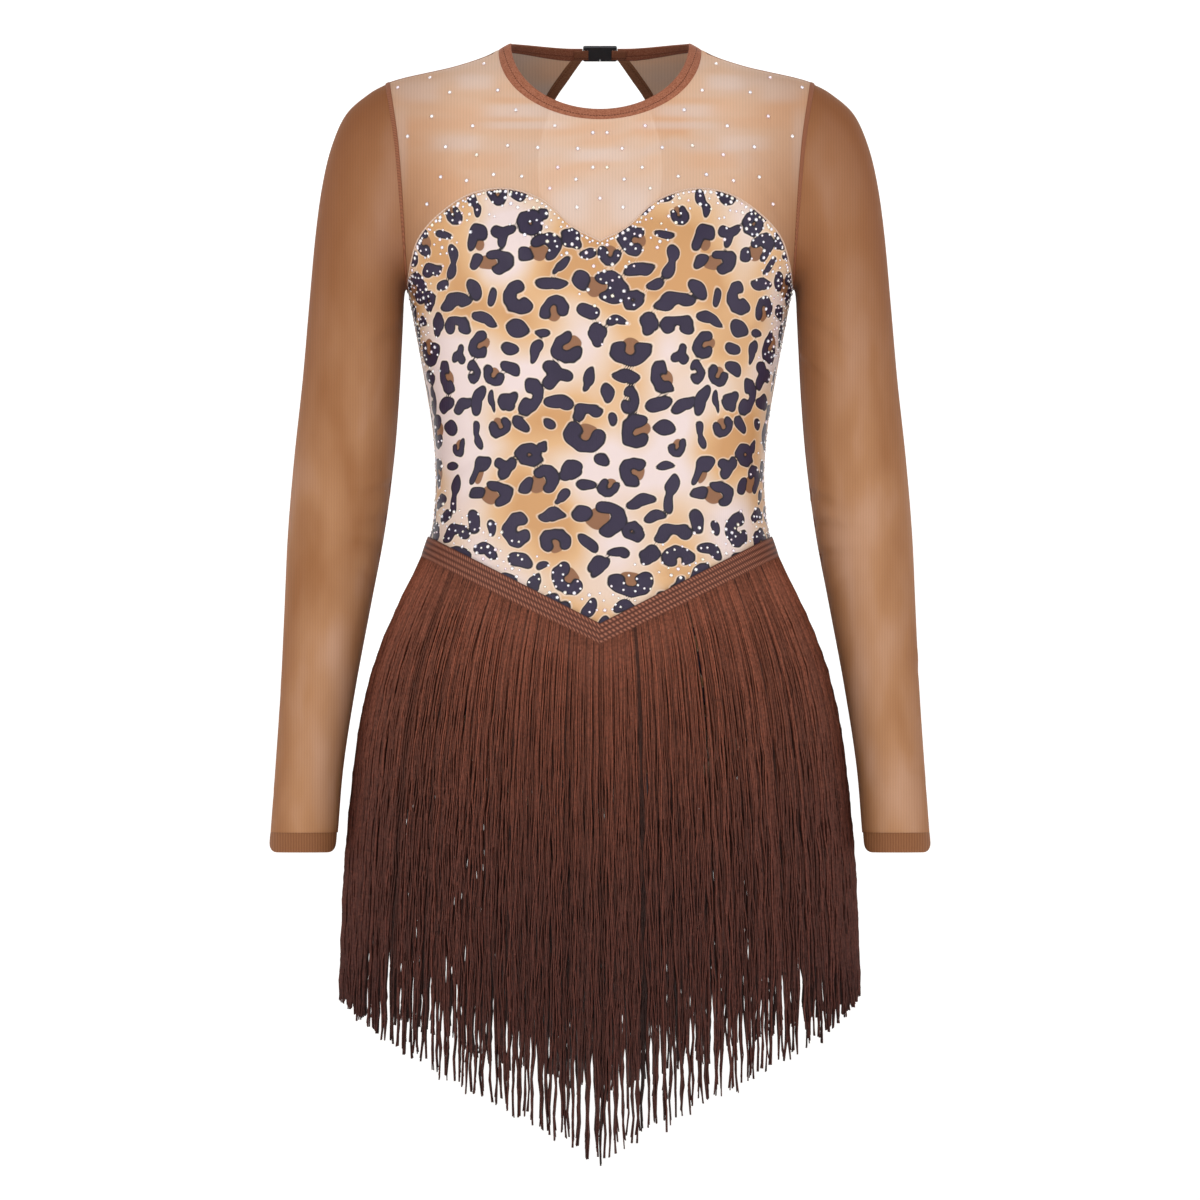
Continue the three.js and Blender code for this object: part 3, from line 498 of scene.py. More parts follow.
def print_marks(across, z):
    """How far each point is outside the nearest spot, and outside the nearest brown heart, in millimetres."""
    down = PRINT_CENTRE["z"] - z
    over = across + PRINT_CENTRE["across"]
    wobble = 1.1 * np.sin(down / 5.3 + 1.4 * np.sin(over / 9.7)) + 0.5 * np.sin(down / 2.9 + over / 4.1)
    waver = 1.0 * np.sin(over / 5.7 + 1.2 * np.sin(down / 8.3)) + 0.5 * np.sin(over / 3.1 - down / 4.3)
    over, down = over + wobble, down + waver
    spot, heart = np.full_like(over, 20.0), np.full_like(over, 20.0)
    for each in map(Spot._make, SPOTS):
        dx = (over - each.across + REPEAT / 2) % REPEAT - REPEAT / 2
        dy = REPEAT / 2 - (down - each.down + REPEAT / 2) % REPEAT
        reach = 1.5 * max(each.long, each.broad) + 6
        near = np.nonzero((np.abs(dx) < reach) & (np.abs(dy) < reach))[0]
        lean = math.radians(each.turn)
        x = (dx[near] * math.cos(lean) + dy[near] * math.sin(lean)) / each.long
        y = (dy[near] * math.cos(lean) - dx[near] * math.sin(lean)) / each.broad
        scale = math.sqrt(each.long * each.broad)
        kind = KINDS[each.kind]
        nearest = np.min([bone_distance(x, y, bone) for bone in kind["bones"]], axis=0) * scale - INK_SPREAD
        spot[near] = np.minimum(spot[near], nearest)
        if "heart" in kind:
            hx, hy, rx, ry = kind["heart"]
            inside = (np.hypot((x - hx) / rx, (y - hy) / ry) - 1) * scale * min(rx, ry)
            heart[near] = np.minimum(heart[near], inside)
    return spot, heart


# Bodice: the same four-sided patch over each half that its solid has.
sweetheart = curve_of(SWEETHEART)
over_sweetheart = curve_of(SWEETHEART, SEAM_GAP)


def back_top(share):
    return mix(BACK_TOP["centre"], BACK_TOP["side"], share * share)


def leg_edge(share, side):
    z = mix(LEG["top"], CROTCH["z"], crowded(share, 2))
    curl = np.clip(1 - share, 0, 1) ** LEG[side]
    return turn_of(mix(CROTCH["half"], half_width(LEG["top"]), curl), z), z


def bodice_patch(side):
    def top(c):
        if side == BACK:
            return c, back_top(c)
        x, z = sweetheart(c)
        return turn_of(x, z), z

    def bottom(c):
        return c * leg_edge(np.ones_like(c), side)[0], np.full_like(c, CROTCH["z"])

    def down(start, middle, t):
        upper = mix(start, middle, crowded(np.minimum(1, t / SIDE_SHARE), ROW_CROWDING))
        lower = mix(middle, CROTCH["z"], crowded(np.clip((t - SIDE_SHARE) / (1 - SIDE_SHARE), 0, 1), 2))
        return np.where(t < SIDE_SHARE, upper, lower)

    def left(t):
        return np.zeros_like(t), down(top(np.zeros_like(t))[1], LEG_ROWS_FROM, t)

    def right(t):
        along_seam = down(top(np.ones_like(t))[1], LEG["top"], t)
        turn, z = leg_edge(np.clip((t - SIDE_SHARE) / (1 - SIDE_SHARE), 0, 1), side)
        return np.where(t < SIDE_SHARE, 1, turn), np.where(t < SIDE_SHARE, along_seam, z)

    def at(c, t):
        turn, z = patch(np.abs(2 * c - 1), t, top, bottom, left, right)
        return np.sign(2 * c - 1) * np.clip(turn, 0, 1), z

    return at


def bodice(side, grid, inwards=0):
    """The satin's printed face, or its plain reverse when it is moved inwards by the cloth's thickness."""
    at = bodice_patch(side)

    def surface(c, t):
        turn, z = at(c, t)
        points, normals = skin_round(turn, z, side)
        across = girth(turn, z, side)
        points = points + normals * (relief(points[:, 0], z, side, BODICE_CREASES) - inwards)[:, None]
        if inwards:
            return points, -normals, (across, z), {}
        spot, heart = print_marks(across + PRINT_SHIFT[side], z)
        return points, normals, (across, z), {"spot": spot, "heart": heart}

    return moved_grid(*grid, surface)


# Yokes: the neckline and shoulder seam above, the armhole at the side, and the bodice's edge below.
def front_neck(line, share):
    turn = share * np.pi / 2
    return line["x"] * np.sin(turn), line["z"] - line["drop"] * np.cos(turn)


def back_neck(line, share):
    return mix(line["back_x"], line["x"], share), mix(line["back_z"], line["z"], smooth(share))


def shoulder_seam(share):
    z = mix(NECK_SEAM["z"], SHOULDER_TIP, share)
    return half_width(z), z


def armhole(share):
    z = mix(SHOULDER_TIP, ARMPIT, rounded(share))
    return np.minimum(through(ARMHOLE["z"], ARMHOLE["x"], z), half_width(z)), z


def top_edge(neck):
    def at(c):
        neckline = neck(NECK_SEAM, np.minimum(1, c / NECK_SHARE))
        seam = shoulder_seam(np.clip((c - NECK_SHARE) / (1 - NECK_SHARE), 0, 1))
        return tuple(np.where(c < NECK_SHARE, a, b) for a, b in zip(neckline, seam))

    return at


# Soft pale and orange patches of the front yoke, where two layers of mesh lie together, and pale painted
# highlights.
Patch = namedtuple("Patch", "x z wide tall")
# The long thin pale patches below the neckline are painted highlights along soft ridges.
PALE_MOTTLE_AND_HIGHLIGHTS = [
    Patch(142, -37, 17, 9), Patch(97, -30, 15, 6), Patch(66, -53, 25, 5), Patch(59, -64, 33, 3.2),
    Patch(0, -88, 24, 5), Patch(156, -85, 6, 34), Patch(112, -78, 20, 6), Patch(24, -128, 16, 14),
]
ORANGE_PATCHES = [
    Patch(0, -72, 18, 9), Patch(66, -45, 27, 2.6), Patch(120, -62, 26, 5), Patch(132, -108, 20, 26),
    Patch(88, -92, 24, 7), Patch(149, -128, 14, 30),
]


def patched(x, z, patches):
    marks = [np.exp(-(((np.abs(x) - p.x) / p.wide) ** 4) - ((z - p.z) / p.tall) ** 4) for p in patches]
    return np.max(marks, axis=0)


def yoke_marks(x, z):
    """The yoke's patches, and painted shade that darkens its tan towards the armhole."""
    deeper = smooth((np.abs(x) - 92) / 66) * (0.45 + 0.55 * smooth((-z - 50) / 110))
    return {"deeper": deeper, "pale": patched(x, z, PALE_MOTTLE_AND_HIGHLIGHTS), "orange": patched(x, z, ORANGE_PATCHES)}


def front_yoke():
    top = top_edge(front_neck)

    def left(t):
        zero = np.zeros_like(t)
        return zero, mix(top(zero)[1], over_sweetheart(zero)[1], rounded(t))

    def surface(c, t):
        x, z = patch(np.abs(2 * c - 1), t, top, over_sweetheart, left, armhole)
        x = np.sign(2 * c - 1) * np.maximum(x, 0)
        points, normals = skin(x, z, FRONT)
        height = relief(x, z, FRONT, YOKE_CREASES)
        return points + normals * height[:, None], normals, (x, z), yoke_marks(x, z)

    return moved_grid(160, 84, surface)


def back_yoke():
    edge = mirrored_curve(KEYHOLE, KEYHOLE_BINDING)
    foot = BACK_TOP["centre"] + SEAM_GAP
    start = back_neck(NECK_SEAM, np.zeros(1))

    def keyhole(share):
        x, z = edge(np.clip(share, 0, 1))
        ease = smooth(1 - share / 0.12)
        return mix(x, start[0][0], ease), mix(z, start[1][0], ease)

    def left(t):
        x, z = keyhole(t / KEYHOLE_SHARE)
        below = mix(edge(np.ones_like(t))[1], foot, np.clip((t - KEYHOLE_SHARE) / (1 - KEYHOLE_SHARE), 0, 1))
        return np.where(t < KEYHOLE_SHARE, x, 0), np.where(t < KEYHOLE_SHARE, z, below)

    def bottom(c):
        z = back_top(c)
        return half_width(z) * np.sin(c * np.pi / 2), z + SEAM_GAP

    def half(mirror):
        def surface(c, t):
            x, z = patch(c, t, top_edge(back_neck), bottom, left, armhole)
            x = mirror * np.maximum(x, 0)
            points, normals = skin(x, z, BACK)
            height = relief(x, z, BACK, YOKE_CREASES)
            return points + normals * height[:, None], normals, (x, z), yoke_marks(x, z)

        return moved_grid(66, 78, surface)

    both = bmesh.new()
    both.from_mesh(half(1))
    both.from_mesh(half(-1))
    bmesh.ops.remove_doubles(both, verts=both.verts, dist=0.02 * MM)
    return new_mesh(both)


# Sleeves: the row picks a section, and the turn goes round from its outer point to the front.
def sleeve_section(row):
    rows = np.arange(SLEEVE_END + 1)
    return {name: through(rows, values, row) for name, values in SLEEVE.items()}


def oval_point(section, turn):
    share = (1 + np.cos(turn)) / 2
    return np.stack([
        mix(section["in_x"], section["out_x"], share),
        section["y"] - section["depth"] * np.sin(turn),
        mix(section["in_z"], section["out_z"], share),
    ], axis=-1)


def armhole_loop(turn):
    z = mix(ARMPIT, SHOULDER_TIP, (1 + np.cos(turn)) / 2)
    x = np.minimum(through(ARMHOLE["z"], ARMHOLE["x"], z), half_width(z))
    (before, front_out), (behind, back_out) = skin(x, z, FRONT), skin(x, z, BACK)
    in_front = (np.sin(turn) > 0)[:, None]
    points = np.where(in_front, before, behind)
    points[:, 0] += 1.5 * SEAM_GAP
    return points, np.where(in_front, front_out, back_out)


def sleeve_point(row, turn):
    points = oval_point(sleeve_section(row), turn)
    fade = np.interp(row, np.arange(len(CAP_FADE)), CAP_FADE)[:, None]
    first = {name: values[0] for name, values in SLEEVE.items()}
    return points + (armhole_loop(turn)[0] - oval_point(first, turn)) * fade


def tube_surface(point_at, last_row, creases):
    def surface(c, t):
        row, turn, step = t * last_row, c * 2 * np.pi - np.pi, 0.02
        points = point_at(row, turn)
        down = point_at(np.minimum(last_row, row + step), turn) - point_at(np.maximum(0, row - step), turn)
        around = point_at(row, turn + step) - point_at(row, turn - step)
        middle = (point_at(row, 0 * turn) + point_at(row, 0 * turn + np.pi)) / 2
        normals = unit(np.cross(down, around))
        normals *= np.sign((normals * (points - middle)).sum(axis=1))[:, None]
        distance = turn * ARM_RADIUS
        height = creased(distance, points[:, 2], creases) * np.minimum(1, np.minimum(t, 1 - t) * 12)
        # Near 1 at the outer and inner sides, where the tube turns away: the sleeve's painted shade reads it.
        marks = {"turned": np.cos(turn) ** 2}
        return points + normals * height[:, None], normals, (distance, points[:, 2]), marks

    return surface


def mirrored(mesh, mirror):
    if mirror < 0:
        made = bmesh.new()
        made.from_mesh(mesh)
        bmesh.ops.scale(made, vec=(-1, 1, 1), verts=made.verts)
        bmesh.ops.reverse_faces(made, faces=made.faces)
        return new_mesh(made)
    return mesh


def sleeve(creases):
    return new_mesh(closed_up(moved_grid(88, 210, tube_surface(sleeve_point, SLEEVE_END, creases))))


def cuff():
    top = {name: values[-1] for name, values in SLEEVE.items()}
    for name in ("out_z", "in_z"):
        top[name] += CUFF_LAP
    half = (CUFF["out_x"] - CUFF["in_x"]) / 2

    def edges(c):
        turn = c * 2 * np.pi
        upper, lower = oval_point(top, turn), oval_point(CUFF, turn)
        past = np.maximum(0, half * (np.abs(np.cos(turn)) - 1) + CUFF_CORNER)
        lower[:, 2] += CUFF_CORNER - np.sqrt(CUFF_CORNER**2 - past**2)
        middle = (upper + oval_point(top, turn + np.pi)) / 2
        outwards = (upper - middle) * (1, 1, 0)
        return upper, lower, unit(outwards)

    return strip(88, edges, HEM_THICK, 28, lift=-HEM_THICK / 2, closed=True)


# Bindings: the neck's runs from the clasp over one shoulder and round the front to the clasp again.
def neck_line(line, c):
    quarter = 7 / 15  # how much of each half is the front's quarter oval, and how much the back's
    half = np.abs(2 * c - 1)
    front = front_neck(line, np.minimum(1, half / quarter))
    back = back_neck(line, np.clip(2 - half / quarter, 0, 1))
    to_clasp = smooth((half - 2 * quarter) / (1 - 2 * quarter))
    x = np.where(half <= quarter, front[0], mix(back[0], CLASP_EDGE, to_clasp))
    z = np.where(half <= quarter, front[1], back[1])
    x = x * np.sign(c - 0.5)
    before, behind = skin(x, z, FRONT), skin(x, z, BACK)
    in_front = (half <= quarter)[:, None]
    return [np.where(in_front, a, b) for a, b in zip(before, behind)]


LAP = 1.2  # how far a folded binding reaches over the mesh that it binds


def neck_binding():
    seam = {"x": NECK_SEAM["x"] + LAP, "z": NECK_SEAM["z"] - LAP / 2, "drop": NECK_SEAM["drop"] + LAP / 2,
            "back_x": NECK_SEAM["back_x"], "back_z": NECK_SEAM["back_z"] - LAP}

    def edges(c):
        (upper, out), (lower, _) = neck_line(NECK_EDGE, c), neck_line(seam, c)
        return upper, lower, out

    return strip(180, edges, HEM_THICK, 16)


def keyhole_binding():
    inner, outer = mirrored_curve(KEYHOLE), mirrored_curve(KEYHOLE, KEYHOLE_BINDING + LAP)

    def edges(c):
        share, mirror = 1 - np.abs(2 * c - 1), np.sign(c - 0.5)
        (x0, z0), (x1, z1) = inner(share), outer(share)
        ease = smooth(1 - share / 0.1)
        x1, z1 = mix(x1, NECK_SEAM["back_x"] + LAP, ease), mix(z1, KEYHOLE["z"][0], ease)
        upper, out = skin(mirror * x0, z0, BACK)
        return upper, skin(mirror * x1, z1, BACK)[0], out

    return strip(120, edges, HEM_THICK, 16)


# Tape and fringe.
def tape_height(turn):
    z = np.full_like(turn, TAPE["apex"], dtype=float)
    for _ in range(12):
        z = TAPE["apex"] + TAPE["rise"] * np.abs(half_width(z) * np.sin(turn * np.pi / 2))
    return z


def tape(side):
    middle, thick = (TAPE["near"] + TAPE["far"]) / 2, TAPE["far"] - TAPE["near"]

    def edges(c):
        turn = 2 * c - 1
        z = tape_height(turn)
        (upper, out), (lower, _) = skin_round(turn, z, side), skin_round(turn, z - TAPE["width"], side)
        return upper, lower, out

    return strip(220, edges, thick, 24, lift=middle)


def hang_point(turn, z, side):
    s = np.sin(turn * np.pi / 2)
    reach = (1 - np.abs(s) ** FULLNESS) ** (1 / FULLNESS)
    deep = through(FRINGE["z"], FRINGE["front" if side == FRONT else "back"], z)
    return np.stack([through(FRINGE["z"], FRINGE["half"], z) * s, side * deep * reach, z], axis=-1)


def hem_height(turn, side):
    s = np.abs(np.sin(turn * np.pi / 2))
    hem = HEM[side]
    return hem["centre"] + hem["slope"] * s + hem["corner"] * s**6


def repeated(one, places, marks):
    """One mesh of many copies of a small shape. Places has each copy's corners, and marks their values."""
    faces = [[corner.index for corner in face.verts] for face in one.faces]
    count, corners = places.shape[:2]
    every = [[corner + k * corners for corner in face] for k in range(count) for face in faces]
    mesh = bpy.data.meshes.new("copies")
    mesh.from_pydata((places.reshape(-1, 3) * MM).tolist(), [], every)
    marked(mesh, marks, (count, corners))
    one.free()
    return mesh


STRAND = {"segments": 22, "half": 0.85, "tip": 0.7, "root": 3, "onto_hips": 34, "layers": 3.4}
CLUMPS = {FRONT: 146, BACK: 134}
THREADS = {FRONT: 8, BACK: 8}  # threads in each clump
WAVES = {"sway": 1.8, "kink": 0.7, "kink_length": 24}
HEM_SPREAD = {"clump": 3.5, "least": 2, "most": 34}  # how unevenly the clumps and their threads end
SUNK_SHARE = 0.16


def even_turns(count, side):
    """Turns round the trunk, evenly spaced along the tape."""
    turn = np.linspace(-0.992, 0.992, 600)
    points = skin_round(turn, tape_height(turn), side)[0]
    length = np.concatenate([[0], np.cumsum(np.linalg.norm(np.diff(points, axis=0), axis=1))])
    return np.interp(np.linspace(0, length[-1], count), length, turn)


def fringe(side):
    rng = np.random.default_rng(11 if side == FRONT else 12)
    one = bmesh.new()
    bmesh.ops.create_cone(one, segments=3, radius1=1, radius2=1, depth=1, cap_ends=True)
    long_edges = [e for e in one.edges if abs(e.verts[0].co.z - e.verts[1].co.z) > 0.5]
    bmesh.ops.subdivide_edges(one, edges=long_edges, cuts=STRAND["segments"] - 1)
    one.verts.index_update()
    corners = np.array([v.co for v in one.verts])

    clumps, per = CLUMPS[side], THREADS[side]
    count = clumps * per
    clump = np.repeat(np.arange(clumps), per)
    root = even_turns(count, side) + rng.normal(0, 0.0012, count)
    middle = even_turns(2 * clumps + 1, side)[1::2] + rng.normal(0, 0.0018, clumps)
    layer = rng.uniform(0, 1, count)
    # Here and there two neighbours lie deeper, in the others' shade.
    sunk = np.repeat(rng.uniform(0, 1, count // 2 + 1) < SUNK_SHARE, 2)[:count]
    layer[sunk] = 0
    end = hem_height(middle, side)[clump] + rng.normal(0, HEM_SPREAD["clump"], clumps)[clump]
    end = end + HEM_SPREAD["least"] + rng.uniform(0, 1, count) ** 4 * HEM_SPREAD["most"]
    start = tape_height(root) - TAPE["width"] + STRAND["root"]

    down = np.broadcast_to(0.5 - corners[:, 2], (count, len(corners)))
    z = mix(start[:, None], end[:, None], down)
    bundled = smooth((down - 0.76) / 0.17)
    gather = 0.1 * smooth(down / 0.3) + 0.82 * bundled
    turn = np.clip(mix(root[:, None], middle[clump][:, None], gather), -1, 1)
    hang = hang_point(turn, z, side)
    on_skin, out_skin = skin_round(root, start, side)
    on_skin = (on_skin + out_skin * 1.5)[:, None, :] + (hang - hang_point(turn, start[:, None] + 0 * z, side))
    ease = smooth((start[:, None] - z) / STRAND["onto_hips"])[..., None]
    centre = mix(on_skin, hang, ease)
    outwards = unit(centre * (0.5, 1, 0))
    across = np.stack([-outwards[..., 1], outwards[..., 0], 0 * z], axis=-1)

    def wave(rise, long, phase):
        return rise * np.sin(2 * np.pi * (z / long + phase[:, None]))

    clump_phase = rng.uniform(0, 1, clumps)[clump]
    own_phase, other_phase = rng.uniform(0, 1, count), rng.uniform(0, 1, count)
    kinks = wave(WAVES["kink"], WAVES["kink_length"], own_phase)
    sideways = WAVES["sway"] * down**3 * np.sin(2 * np.pi * (down * 1.3 + clump_phase[:, None]))
    sideways += wave(0.8, 31, clump_phase) * bundled
    sideways += kinks * smooth(down / 0.9) * (1 - 0.5 * bundled)
    sideways += wave(1.1, 71, other_phase) * smooth(down / 0.5) * (1 - 0.8 * bundled)
    outward = (layer[:, None] - 0.5) * STRAND["layers"] * smooth(down / 0.12) * (1 - 0.5 * bundled)
    outward = outward + wave(0.6, 33, other_phase) * smooth(down / 0.15) - 1.2 * smooth(down / 0.12)
    taper = STRAND["half"] * mix(1, STRAND["tip"], smooth((down - 0.9) / 0.1))
    places = centre + across * (sideways + corners[:, 0] * taper)[..., None]
    places = places + outwards * (outward + corners[:, 1] * taper)[..., None]

    # Painted shade: sunk threads are near black and lower layers darker; the rest of the tone is random.
    tone = np.where(sunk, 0.08, 0.12 + rng.uniform(0, 1, count) * 0.5 + layer * 0.38)[:, None]
    return repeated(one, places, {"tone": tone, "fall": down})


# Crystals: flat-backed stones glued on, dense along the sweetheart, the side seams and the tape.
STONE = {"small": 1.25, "large": 1.8, "height": 0.62, "sides": 8, "table": 0.52}
SCATTER_TRIES = 15000
APART = 4.3  # the least distance between two scattered stones
# Stones set over one half of the front yoke, by x and z; the other half mirrors them.
YOKE_STONES = [
    (90.5, -15.6), (132.6, -26.5), (157.6, -34), (117, -38.2), (79.6, -36.7), (65.5, -52.3), (131, -56.9),
    (99.1, -64.7), (35.1, -64.7), (5.5, -70.2), (149.8, -72.5), (120.1, -81.1), (71.8, -80.3), (48.4, -81.9),
    (17.2, -82.7), (95.9, -87.4), (32.8, -97.5), (5.5, -97.5), (18.7, -106.9), (82.7, -103), (60.8, -104.5),
    (124, -104.5), (103.7, -107.6), (39, -113.9), (17.9, -128.7), (134.9, -125.6),
]
CENTRE_STONE = (0, -121.7)


def apart(x, z, least):
    """Drops each point that lies nearer than least to one that is kept."""
    kept = []
    for k in range(len(x)):
        if all(math.hypot(x[k] - x[n], z[k] - z[n]) >= least for n in kept):
            kept.append(k)
    return np.array(kept, int)


def stone_chance(x, z, side):
    """How likely a stone is at a place on the bodice."""
    side_share = turn_of(x, z)
    above_tape = z - tape_height(side_share)
    near_tape = np.clip(1 - (above_tape - 4) / 34, 0, 1) ** 1.3 * (above_tape > 3)
    waist = smooth((side_share - 0.68) / 0.3) * smooth((z + 420) / 40) * smooth((-255 - z) / 60) * 0.35
    if side == BACK:
        from_top = back_top(side_share) - z
        top = np.clip(1 - (from_top - 3) / 16, 0, 1) * (from_top > 3)
        return np.maximum.reduce([near_tape * 0.7, top * 0.55, waist * 0.6])
    share = np.linspace(0, 1, 160)
    edge_x, edge_z = sweetheart(share)
    from_edge = np.min(np.hypot(np.abs(x)[:, None] - edge_x, z[:, None] - edge_z), axis=1)
    edge = np.where(from_edge > 1.9, np.clip(1.25 - from_edge / 30, 0, 1) ** 1.6, 0)
    under_arm = smooth((side_share - 0.64) / 0.2) * smooth((z + 285) / 80)
    drop = np.exp(-((x - 8) ** 2) / 420) * np.exp(-((z + 184) ** 2) / 900) * 0.55
    return np.maximum.reduce([edge, under_arm, near_tape * 0.95, waist, drop])


def scattered(side):
    rng = np.random.default_rng(21 if side == FRONT else 22)
    turn, z = rng.uniform(-0.985, 0.985, SCATTER_TRIES), rng.uniform(-455, -112, SCATTER_TRIES)
    x = half_width(z) * np.sin(turn * np.pi / 2)
    if side == FRONT:
        top = np.interp(np.abs(x), *sweetheart(np.linspace(0, 1, 160)))
    else:
        top = back_top(np.abs(turn))
    on_ink = print_marks(girth(turn, z, side) + PRINT_SHIFT[side], z)[0] < 0.5
    chance = stone_chance(x, z, side) ** 1.5 * np.where(on_ink, 1.7, 0.6)
    wanted = (z < top - 1.8) & (rng.uniform(0, 1, SCATTER_TRIES) < chance)
    turn, z, x = turn[wanted], z[wanted], x[wanted]
    kept = apart(girth(turn, z, side), z, APART)
    return x[kept], z[kept]


def edge_row():
    """The close row of stones that follows the sweetheart edge."""
    share = np.linspace(0.004, 0.975, 46)
    x, z = curve_of(SWEETHEART, -2.4)(share)
    return np.concatenate([x, -x]), np.concatenate([z, z])


def crystals(x, z, side, creases, lift, seed, large_share=0.25):
    rng = np.random.default_rng(seed)
    one = bmesh.new()
    sides, table = STONE["sides"], STONE["table"]
    bmesh.ops.create_cone(one, segments=sides, radius1=1, radius2=table, depth=1, cap_ends=True)
    one.verts.index_update()
    corners = np.array([v.co for v in one.verts])
    points, normals = skin(x, z, side)
    height = relief(x, z, side, creases) + lift
    points = points + normals * height[:, None]
    spin = rng.uniform(0, 2 * np.pi, len(x))
    lean = unit(normals + rng.normal(0, 0.06, normals.shape))
    east = unit(np.cross(np.broadcast_to((0.0, 0.0, 1.0), lean.shape), lean))
    north = np.cross(lean, east)
    first = east * np.cos(spin)[:, None] + north * np.sin(spin)[:, None]
    second = np.cross(lean, first)
    size = np.where(rng.uniform(0, 1, len(x)) < large_share, STONE["large"], STONE["small"])[:, None, None]
    places = points[:, None, :] + size * (
        corners[None, :, 0:1] * first[:, None, :]
        + corners[None, :, 1:2] * second[:, None, :]
        + (corners[None, :, 2:3] + 0.5) * STONE["height"] * lean[:, None, :]
    )
    return repeated(one, places, {"tone": rng.uniform(0, 1, len(x))[:, None]})


# Colours and finishes.
def linear(code):
    """A colour's sRGB hex code as linear red, green, blue and alpha."""
    parts = [int(code[k : k + 2], 16) / 255 for k in (1, 3, 5)]
    return (*[p / 12.92 if p <= 0.04045 else ((p + 0.055) / 1.055) ** 2.4 for p in parts], 1)


class Finish:
    """A material in the making: each method adds a node and gives its output. A text is a colour's code."""

    def __init__(self, name):
        self.material = bpy.data.materials.new(name)
        self.material.use_nodes = True
        self.material.node_tree.nodes.clear()
        self.place = self.add("ShaderNodeTexCoord").outputs["Object"]

    def add(self, kind, inputs=None, **settings):
        made = self.material.node_tree.nodes.new(kind)
        for name, value in settings.items():
            setattr(made, name, value)
        for name, value in (inputs or {}).items():
            if isinstance(value, bpy.types.NodeSocket):
                self.material.node_tree.links.new(value, made.inputs[name])
            else:
                made.inputs[name].default_value = linear(value) if isinstance(value, str) else value
        return made

    def mark(self, name):
        return self.add("ShaderNodeAttribute", attribute_name=name).outputs["Fac"]

    def cut(self):
        return self.add("ShaderNodeUVMap", uv_map="cut").outputs[0]

    def part(self, vector, axis):
        return self.add("ShaderNodeSeparateXYZ", {0: vector}).outputs[axis]

    def mapped(self, vector, **how):
        return self.add("ShaderNodeMapping", {"Vector": vector, **how}).outputs[0]

    def noise(self, scale, detail, vector=None, **more):
        place = self.place if vector is None else vector
        inputs = {"Vector": place, "Scale": scale, "Detail": detail, **more}
        return self.add("ShaderNodeTexNoise", inputs).outputs["Fac"]

    def wave(self, scale, distortion, detail=2.0, vector=None, direction="X"):
        place = self.place if vector is None else vector
        inputs = {"Vector": place, "Scale": scale, "Distortion": distortion, "Detail": detail}
        return self.add("ShaderNodeTexWave", inputs, bands_direction=direction).outputs["Fac"]

    def ramp(self, share, *stops):
        made = self.add("ShaderNodeValToRGB", {"Fac": share})
        points = made.color_ramp.elements
        while len(points) < len(stops):
            points.new(1)
        for point, (place, code) in zip(points, stops):
            point.position = place
            point.color = linear(code)
        return made.outputs[0]

    def ranged(self, value, start, end, low=0.0, high=1.0):
        return self.add("ShaderNodeMapRange", {
            "Value": value, "From Min": start, "From Max": end, "To Min": low, "To Max": high}).outputs[0]

    def sum(self, operation, *values, clamp=False):
        inputs = dict(enumerate(values))
        return self.add("ShaderNodeMath", inputs, operation=operation, use_clamp=clamp).outputs[0]

    def blend(self, share, first, second, kind="MIX"):
        inputs = {0: share, 6: first, 7: second}
        return self.add("ShaderNodeMix", inputs, data_type="RGBA", blend_type=kind).outputs[2]

    def done(self, colour, roughness, bump=None, specular=0.5, **more):
        """The finished material. A bump is a height, its strength, and its distance in metres."""
        inputs = {"Base Color": colour, "Roughness": roughness, "Specular IOR Level": specular, **more}
        if bump:
            raised = dict(zip(("Height", "Strength", "Distance"), bump))
            inputs["Normal"] = self.add("ShaderNodeBump", raised).outputs[0]
        shader = self.add("ShaderNodeBsdfPrincipled", inputs)
        self.add("ShaderNodeOutputMaterial", {"Surface": shader.outputs[0]})
        return self.material


INK_EDGE = 0.35  # how softly the printed ink ends, to each side


def satin_print():
    """Stretch satin of polyester and elastane, knitted and transfer printed, with a broad soft shine."""
    satin = Finish("printed_stretch_satin")
    spot, heart = satin.mark("spot"), satin.mark("heart")
    # The ground is sprayed in soft patches 60 to 100 mm across.
    patches = satin.noise(13.0, 1.5, Roughness=0.4)
    ground = satin.ramp(patches, (0.36, "#c99766"), (0.45, "#d9ae82"), (0.53, "#dfc3ac"), (0.62, "#e4d1ce"))
    in_heart = satin.ranged(heart, INK_EDGE, -INK_EDGE)
    hearted = satin.blend(in_heart, ground, "#8e6347")
    # A pale line, about 1 mm wide, where the dark ink was kept off the ground.
    outside = satin.ranged(spot, 0.5, 1.4, 0.5, 0.0)
    pale = satin.sum("MULTIPLY", outside, satin.sum("SUBTRACT", 1.0, in_heart))
    haloed = satin.blend(pale, hearted, "#f2e0d2")
    # The ink is black at a spot's rim and a cloudy violet within.
    ink = satin.blend(satin.noise(30.0, 1.0), "#292136", "#393049")
    dark = satin.blend(satin.ranged(spot, -0.6, -1.7), "#17131c", ink)
    printed = satin.blend(satin.ranged(spot, INK_EDGE, -INK_EDGE), haloed, dark)
    # Knit wales 0.5 mm apart, drawn 1.6 mm apart so that they show.
    wales = satin.wave(195.0, 0.6, detail=1.0)
    shine = satin.ranged(patches, 0.3, 0.7, 0.46, 0.38)
    return satin.done(printed, shine, (wales, 0.1, 0.0003), specular=0.3)


def satin_reverse():
    """The unprinted inner face of the satin: matt blush polyester, faintly ribbed by the knit."""
    inside = Finish("satin_reverse")
    wales = inside.wave(195.0, 0.5)
    tint = inside.ramp(wales, (0.0, "#d8bca6"), (1.0, "#e6cfbd"))
    return inside.done(tint, 0.8, (wales, 0.2, 0.0003))


